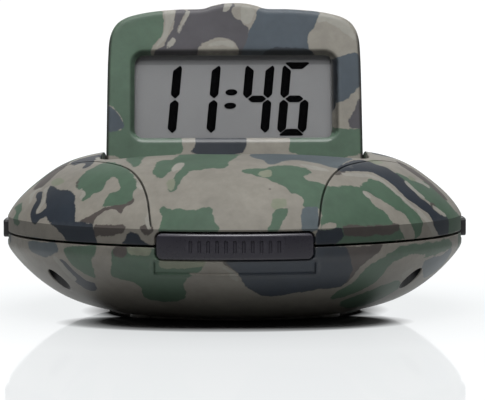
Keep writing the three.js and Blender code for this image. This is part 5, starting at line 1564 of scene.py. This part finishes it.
def unroll_top(co):
    r = np.hypot(co[:, 0], co[:, 1])
    rel = co[:, 2] - SEAM
    s = np.where(rel < CREASE_Z, TOP_S[-1] + CREASE_Z - rel, top_run(r))
    t = np.arctan2(co[:, 0], -co[:, 1])
    deep = np.where(rel < CREASE_Z, 0, np.maximum(top_z(r) - co[:, 2] - 0.9, 0))
    return np.c_[s * np.sin(t) + 0.8 * deep * np.clip(co[:, 0] / 22, -1, 1), -s * np.cos(t) + 0.7 * deep]


def unroll_low(co):
    r = np.hypot(co[:, 0], co[:, 1])
    rel = co[:, 2] - SEAM
    s = LOW_LEN - np.where(rel > -3, low_s_of_z(rel), low_s_of_r(np.clip(r, 31.2, 55)))
    s = np.where((r < 31.2) & (rel < -17), r, s)
    t = np.arctan2(co[:, 0], -co[:, 1])
    return np.c_[s * np.sin(t), -s * np.cos(t)]


def from_display(co):
    dy, dz = co[:, 1] - HINGE_Y, co[:, 2] - HINGE_Z
    n = -dy * math.cos(LEAN) + dz * math.sin(LEAN)
    v = dy * math.sin(LEAN) + dz * math.cos(LEAN)
    return np.c_[co[:, 0], v, n]


def round_display(co):
    """Flat position on the display front, carried on over its sides."""
    u, v, n = from_display(co).T
    over = np.maximum(BARREL - 1.25 - n, 0) * (np.hypot(np.maximum(np.abs(u) - 25.4, 0), np.maximum(np.abs(v - 17.2) - 11.3, 0)) > 2.2)
    up = v > 34 - 0.0 * u
    return np.c_[np.where(up, u, u + np.sign(u) * over), np.where(up, v + over, v)]


def paint_shade(ob, amount):
    """Painted shade on a printed part, from 0 to 1: how far its print is darkened to stand in for shadow."""
    ob.data.attributes.new("painted_shade", "FLOAT", "POINT").data.foreach_set("value", np.clip(amount, 0, 1).astype(np.float32))


case_top = make("case_top", build_case_top(), camo, "case", ["top_shell"], flip=Vector((0, -0.6, 1)))
print_camo(case_top, "top", unroll_top, lambda co, p: smooth((p[:, 1] + 12) / 12), 3)
# the upright band takes the darker copy of the print: painted shade
case_top.data.materials.append(camo_band_shaded)
for f in case_top.data.polygons:
    c = f.center * 1000
    if c.z < SEAM + CREASE_Z and math.hypot(c.x, c.y) > 52:
        f.material_index = 1
rim = np.array([abs(v.co.z * 1000 - SEAM - CREASE_Z) < 0.01 and abs(math.hypot(v.co.x, v.co.y) * 1000 - CREASE_R) < 0.01 for v in case_top.data.vertices])
for e in case_top.data.edges:
    if rim[e.vertices[0]] and rim[e.vertices[1]]:
        e.use_edge_sharp = True
# painted shade: the print darkens in the grooves and down inside the pocket
flat = np.array([(v.co.x * 1000, v.co.y * 1000) for v in case_top.data.vertices])
near = np.minimum(distance(flat, GROOVE_LINE, False), distance(flat, GROOVE_LINE * [-1, 1], False))
groove_shade = (1 - smooth((near - 0.09) / 0.17)) * smooth((CREASE_R - np.hypot(*flat.T)) / 0.7)
tall = np.array([v.co.z * 1000 for v in case_top.data.vertices])
mouth = pocket_outline()
pocket_shade = inside(flat, offset_loop(mouth, 0.1)) * smooth((top_z(np.hypot(*flat.T)) - tall - 0.1) / 0.5) * smooth((tall - POCKET_FLOOR - 0.4) / 1.5)
paint_shade(case_top, np.maximum(groove_shade * (tall > SEAM + CREASE_Z), 0.8 * pocket_shade))
case_bottom = make("case_bottom", build_case_bottom(), camo_low, "case", ["bottom_shell"], flip=Vector((0.2, -1, -0.1)))
# the screw wells are bare black plastic inside, which also stands in as painted shade
case_bottom.data.materials.append(black)
for f in case_bottom.data.polygons:
    c = f.center * 1000
    if any(math.hypot(c.x - x, c.y - y) < 2.51 for x, y in WELLS) and c.z > 2:
        f.material_index = 1
print_camo(case_bottom, "low", unroll_low, lambda co, p: smooth((p[:, 1] + 22) / 12), 23)
# painted shade: a dark line in the inset panel's outline, a darker belt below the seam and darker towards the base
low = np.array([v.co for v in case_bottom.data.vertices]) * 1000
line = np.array([(-INSET_X + 0.16, -3.4), (-INSET_X + 0.16, INSET_Z + 0.16), (INSET_X - 0.16, INSET_Z + 0.16), (INSET_X - 0.16, -3.4)])
near = distance(np.c_[low[:, 0], low[:, 2] - SEAM], resample(line, 0.5, False), False)
line = np.where(np.abs(low[:, 0]) < INSET_X - 0.6, 0.95, 0.55) * (1 - smooth((near - 0.08) / 0.2)) * (low[:, 1] < -40) * (low[:, 2] > 8)
seam_belt_shade = 0.34 * (1 - smooth((SEAM - low[:, 2] - 2.0) / 2.2))
foot = 0.9 * (1 - smooth((low[:, 2] - 0.8) / 0.8)) * (np.hypot(low[:, 0], low[:, 1]) > 30)
paint_shade(case_bottom, np.maximum(np.maximum(line, seam_belt_shade), foot))
# the display front takes the lighter copy of the print: painted light
bezel = make("bezel", build_bezel(), camo_panel_lit, "display", ["display_bezel"], flip=Vector((0, -1, 0.3)))
print_camo(
    bezel, "disp", round_display,
    lambda co, p: np.maximum(smooth((-p[:, 1] - 1) / 2), smooth((np.hypot(*(p - from_display(co)[:, :2]).T) - 0.2) / 0.8)), 41,
)
uvn = from_display(np.array([v.co for v in bezel.data.vertices]) * 1000)
# painted shade: a dark line down the display's sides, darker walls round the window, most at the top and right, and a
# dark line where the window meets the glass
rim = (1 - smooth((distance(uvn[:, :2], PANEL, False) - 0.36) / 0.4)) * (1 - smooth((uvn[:, 1] - 31) / 4)) * (np.abs(uvn[:, 0]) > 26)
wall = (1 - smooth((uvn[:, 2] - 4.35) / 0.33)) * (np.abs(uvn[:, 0]) < 26.6) * (np.abs(uvn[:, 1] - 17.2) < 12.3) * (uvn[:, 2] > 2.9)
x0, x1, y0, y1, _ = WINDOW
side = np.maximum(0.7 * (uvn[:, 1] > y1 - 0.5), np.where(uvn[:, 0] > x1 - 0.8, 0.72, 0.48) * (uvn[:, 1] > y0 + 1.2))
lip = 0.9 * (1 - smooth((uvn[:, 2] - 3.1) / 0.25)) * (uvn[:, 2] > 2.9) * (np.abs(uvn[:, 0]) < 26.6) * (uvn[:, 1] > 5)
paint_shade(bezel, np.maximum(np.maximum(rim, side * wall), lip))
# the round sill below the window takes the lighter copy of the print: painted highlight
bezel.data.materials.append(camo_sill_highlight)
for f in bezel.data.polygons:
    u, v, n = np.mean([uvn[i] for i in f.vertices], axis=0)
    if abs(u) < x1 - 0.6 and y0 - 1.5 < v < y0 + 0.02 and 3.1 < n < 4.695:
        f.material_index = 1
# the rear cover takes the same lighter copy of the print: painted light
cover = make("rear_cover", build_cover(), camo_panel_lit, "display", ["display_rear_cover"], flip=Vector((0, 1, -0.3)))
print_camo(cover, None, lambda co: from_display(co)[:, :2] * [-1, 1], lambda co, p: np.ones(len(p)), 57)

bar = make("snooze_bar", build_bar(), grey, "snooze_bar", ["snooze_button"], flip=Vector((0, -1, 0)))
# the bar's top edge takes the lighter grey: painted highlight
bar.data.materials.append(grey_top_highlight)
for f in bar.data.polygons:
    c = f.center * 1000
    if c.y < -53 + (abs(c.x) / 55.25) ** 2 * 27.6 and c.z - SEAM - 0.08 > 2.4:
        f.material_index = 1
for side, sx, body in (("mode", 1, "mode_slider"), ("volume", -1, "volume_slider")):
    make(side + "_tab", build_knob(sx), black, body, [side + "_slide_knob"], flip=Vector((sx, 0, 0)))
for name, x in zip(("time", "alarm", "hour", "minute"), KEY_X):
    make(name + "_key_cap", build_key(x), key_grey, name + "_key", [name + "_button"], flip=Vector((0, 0, 1)))
for i, (x, y) in enumerate(FEET):
    make("foot_%d" % (i + 1), build_foot(x, y), rubber, "case", ["rubber_foot_%d" % (i + 1)], flip=Vector((0, 0, -1)))
door = make("door_panel", build_door(), camo_low, "door", ["battery_door"], flip=Vector((0, 0, -1)))
print_camo(door, "low", unroll_low, lambda co, p: smooth((p[:, 1] + 22) / 12), 23)
for i, (x, y) in enumerate([(41.0 * sx, 27.5 * sy) for sy in (-1, 1) for sx in (-1, 1)]):
    head = build_screw(lambda p, q, h: np.c_[x + p, y + q, 12.7 - np.asarray(h) + 0 * p], 2.15, 1.05, 11.4)
    make("case_screw_head_%d" % (i + 1), head, steel, "case", ["case_screw_%d" % (i + 1)], flip=Vector((0, 0, -1)))
for i, x in enumerate((-22.0, 22.0)):
    head = build_screw(lambda p, q, h: on_display(x + p, 34.5 + q, -4.45 - np.asarray(h) + 0 * p), 1.75, 0.8, 4.4)
    make("display_screw_head_%d" % (i + 1), head, steel, "display", ["display_screw_%d" % (i + 1)], flip=Vector((0, 1, -0.3)))
digits = make("digits", build_digits(), digit, "display", (), flip=Vector((0, -1, 0.3)))

for name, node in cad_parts.items():
    slot = NODE_SLOT.get(name)
    if slot is None:
        if "screw" in name or "spring" in name or "plate" in name:
            slot = "steel"
        elif "cell" in name:
            slot = "cell_jacket"
        elif "lead" in name or "foot" in name or "strip" in name:
            slot = "rubber"
        elif "shell" in name or "bezel" in name or "cover" in name:
            slot = "camo_shell"
        elif "button" in name:
            slot = "grey_plastic"
        else:
            slot = "black_plastic"
    node.data.materials.clear()
    node.data.materials.append(SLOT_LOOK[slot])

# ------------------------------------------------------------------ stage, light and camera

floor_mesh = bpy.data.meshes.new("floor")
floor_mesh.from_pydata([(-4, -4, 0), (4, -4, 0), (4, 4, 0), (-4, 4, 0)], [], [(0, 1, 2, 3)])
floor = bpy.data.objects.new("floor", floor_mesh)
bpy.context.scene.collection.objects.link(floor)
fl = Look("floor_white")
spot = fl.node("ShaderNodeSeparateXYZ")
fl.put(spot.inputs[0], fl.at)


def oval(x, y, a, b):
    u, v = fl.math("DIVIDE", x, a), fl.math("DIVIDE", y, b)
    return fl.math("SQRT", fl.math("ADD", fl.math("MULTIPLY", u, u), fl.math("MULTIPLY", v, v)))


def squared(x, y, a, b):
    u, v = fl.math("DIVIDE", x, a), fl.math("DIVIDE", y, b)
    return fl.math("SQRT", fl.math("ADD", fl.math("POWER", fl.math("ABSOLUTE", u), 3.0), fl.math("MULTIPLY", v, v)))


# painted shadow under the clock, as it shows and as it takes light away from the bowl
floor_painted_shadow = fl.math(
    "MINIMUM",
    fl.span(squared(fl.math("SUBTRACT", spot.outputs["X"], 0.0015), fl.math("ADD", spot.outputs["Y"], 0.026), 0.042, 0.023), 0.69, 1.31, 0.0, 0.88),
    fl.span(oval(spot.outputs["X"], spot.outputs["Y"], 0.0362, 0.0362), 0.88, 1.06, 0.0, 0.88),
)
shade = fl.math(
    "MINIMUM", oval(spot.outputs["X"], fl.math("ADD", spot.outputs["Y"], 0.028), 0.0398, 0.0215),
    oval(spot.outputs["X"], spot.outputs["Y"], 0.0355, 0.0355),
)
paint = fl.node("ShaderNodeBsdfDiffuse")
paint.inputs["Color"].default_value = (0.15, 0.15, 0.151, 1)
glow = fl.node("ShaderNodeEmission")
glow.inputs["Color"].default_value = (0.965, 0.99, 1.0, 1)
out = fl.math("SQRT", fl.math("ADD", fl.math("MULTIPLY", spot.outputs["X"], spot.outputs["X"]), fl.math("MULTIPLY", spot.outputs["Y"], spot.outputs["Y"])))
far = fl.span(out, 0.1, 0.45, 1.0, 1.35)
# the table behind the clock and far from it is bright in the picture, but throws little light on it
lit = fl.math("MULTIPLY", fl.span(spot.outputs["Y"], 0.02, 0.2, 1.0, 0.12), fl.span(out, 0.14, 0.4, 1.0, 0.2))
seen = fl.math("MULTIPLY", floor_painted_shadow, fl.node("ShaderNodeLightPath").outputs["Is Camera Ray"])
cast = fl.math("MULTIPLY", fl.span(shade, 0.88, 1.06, 0.0, 0.88), lit)
fl.put(glow.inputs["Strength"], fl.math("MULTIPLY", fl.math("MAXIMUM", seen, cast), far))
both = fl.node("ShaderNodeAddShader")
fl.put(both.inputs[0], paint.outputs[0])
fl.put(both.inputs[1], glow.outputs[0])
shine = fl.node("ShaderNodeBsdfGlossy")
fl.put(shine.inputs["Roughness"], fl.span(fl.noise(40, 2), 0.3, 0.7, 0.03, 0.06))
top = fl.node("ShaderNodeMixShader")
top.inputs[0].default_value = 0.24
fl.put(top.inputs[1], both.outputs[0])
fl.put(top.inputs[2], shine.outputs[0])
fl.t.nodes.remove(fl.b)
under = fl.node("ShaderNodeMixShader")
fl.put(under.inputs[0], fl.node("ShaderNodeNewGeometry").outputs["Backfacing"])
fl.put(under.inputs[1], top.outputs[0])
fl.put(under.inputs[2], fl.node("ShaderNodeBsdfTransparent").outputs[0])
fl.put(fl.out.inputs["Surface"], under.outputs[0])
floor_mesh.materials.append(fl.m)
floor.visible_diffuse = False

world = bpy.data.worlds.new("studio")
bpy.context.scene.world = world
world.use_nodes = True
wt = world.node_tree
bg = next(n for n in wt.nodes if n.type == "BACKGROUND")
coord = wt.nodes.new("ShaderNodeTexCoord")
sep = wt.nodes.new("ShaderNodeSeparateXYZ")
ramp = wt.nodes.new("ShaderNodeValToRGB")
wt.links.new(coord.outputs["Generated"], sep.inputs[0])
half = wt.nodes.new("ShaderNodeMath")
half.operation = "MULTIPLY_ADD"
half.inputs[1].default_value = 0.5
half.inputs[2].default_value = 0.5
wt.links.new(sep.outputs["Z"], half.inputs[0])
wt.links.new(half.outputs[0], ramp.inputs[0])
wt.links.new(ramp.outputs[0], bg.inputs["Color"])
e = ramp.color_ramp.elements
e[0].position, e[0].color = 0.0, (0.02, 0.02, 0.021, 1)
e[1].position, e[1].color = 1.0, (0.2, 0.2, 0.202, 1)
for pos, v in ((0.47, 0.03), (0.52, 0.07), (0.7, 0.16)):
    x = e.new(pos)
    x.color = (v, v, v * 1.01, 1)
bg.inputs["Strength"].default_value = 1.0
seen = wt.nodes.new("ShaderNodeBackground")
seen.inputs["Color"].default_value = (1, 1, 1, 1)
seen.inputs["Strength"].default_value = 1.05
either = wt.nodes.new("ShaderNodeMixShader")
wt.links.new(wt.nodes.new("ShaderNodeLightPath").outputs["Is Camera Ray"], either.inputs[0])
wt.links.new(bg.outputs[0], either.inputs[1])
wt.links.new(seen.outputs[0], either.inputs[2])
wt.links.new(either.outputs[0], next(n for n in wt.nodes if n.type == "OUTPUT_WORLD").inputs["Surface"])

back_mesh = bpy.data.meshes.new("backdrop")
back_mesh.from_pydata([(-2.2, 3.5, -0.3), (2.2, 3.5, -0.3), (2.2, 3.5, 3.2), (-2.2, 3.5, 3.2)], [], [(0, 1, 2, 3)])
backdrop = bpy.data.objects.new("backdrop", back_mesh)
bpy.context.scene.collection.objects.link(backdrop)
bk = Look("backdrop_white")
em = bk.node("ShaderNodeEmission")
em.inputs["Color"].default_value = (1, 1, 1, 1)
# its sides fade out, so that the floor mirrors no hard edge of it
wide = bk.node("ShaderNodeSeparateXYZ")
bk.put(wide.inputs[0], bk.at)
fade = bk.span(bk.math("ABSOLUTE", wide.outputs["X"]), 0.9, 2.18, 1.05, 0.1)
bk.put(em.inputs["Strength"], bk.math("MAXIMUM", fade, bk.math("MULTIPLY", bk.node("ShaderNodeLightPath").outputs["Is Camera Ray"], 1.05)))
bk.t.nodes.remove(bk.b)
bk.put(bk.out.inputs["Surface"], em.outputs[0])
back_mesh.materials.append(bk.m)
backdrop.visible_diffuse = False


def area(name, at, to, size, power, size_y=None):
    data = bpy.data.lights.new(name, "AREA")
    data.energy = power
    data.size = size
    if size_y:
        data.shape, data.size_y = "RECTANGLE", size_y
    ob = bpy.data.objects.new(name, data)
    bpy.context.scene.collection.objects.link(ob)
    ob.location = at
    ob.rotation_euler = (Vector(to) - Vector(at)).to_track_quat("-Z", "Y").to_euler()
    ob.visible_camera = False
    return ob


area("overhead", (0.0, -0.05, 1.0), (0, 0, 0.03), 0.8, 5.1, 1.0)
area("front", (0.0, -0.75, 1.1), (0, 0, 0.05), 0.9, 7.7, 0.6)
for sx in (-1, 1):
    area("side_%s" % ("left" if sx < 0 else "right"), (0.8 * sx, 0.0, 0.065), (0, 0, 0.015), 0.5, 0.2, 0.12).visible_glossy = False

# light that a pale table throws back up, without the part that the clock itself shades
card_mesh = bpy.data.meshes.new("bounce")
card_mesh.from_pydata([(-1, -1, 0.0001), (1, -1, 0.0001), (1, 1, 0.0001), (-1, 1, 0.0001)], [], [(0, 1, 2, 3)])
card = bpy.data.objects.new("bounce", card_mesh)
bpy.context.scene.collection.objects.link(card)
cl = Look("bounce_light")
spot = cl.node("ShaderNodeSeparateXYZ")
cl.put(spot.inputs[0], cl.at)
away = cl.math("SQRT", cl.math("ADD", cl.math("MULTIPLY", spot.outputs["X"], spot.outputs["X"]), cl.math("MULTIPLY", spot.outputs["Y"], spot.outputs["Y"])))
glow = cl.node("ShaderNodeEmission")
cl.put(glow.inputs["Strength"], cl.math("MULTIPLY", cl.span(away, 0.055, 0.092, 0.0, 0.72), cl.span(away, 0.1, 0.32, 1.0, 0.3)))
cl.t.nodes.remove(cl.b)
cl.put(cl.out.inputs["Surface"], glow.outputs[0])
card_mesh.materials.append(cl.m)
card.visible_camera = False
card.visible_glossy = False
card.visible_shadow = False
card.visible_transmission = False

cam_data = bpy.data.cameras.new("camera")
cam = bpy.data.objects.new("camera", cam_data)
bpy.context.scene.collection.objects.link(cam)
cam_data.sensor_width = 36.0
cam_data.lens = 213.8
cam.location = (0.0, -0.700, 0.0715)
aim = (Vector((0.0019, 0.0, 0.0268)) - cam.location).to_track_quat("-Z", "Y")
cam.rotation_euler = (aim @ Quaternion((0, 0, 1), -0.003)).to_euler()
cam_data.clip_start = 0.01
bpy.context.scene.camera = cam
bpy.context.scene.view_settings.view_transform = "Standard"
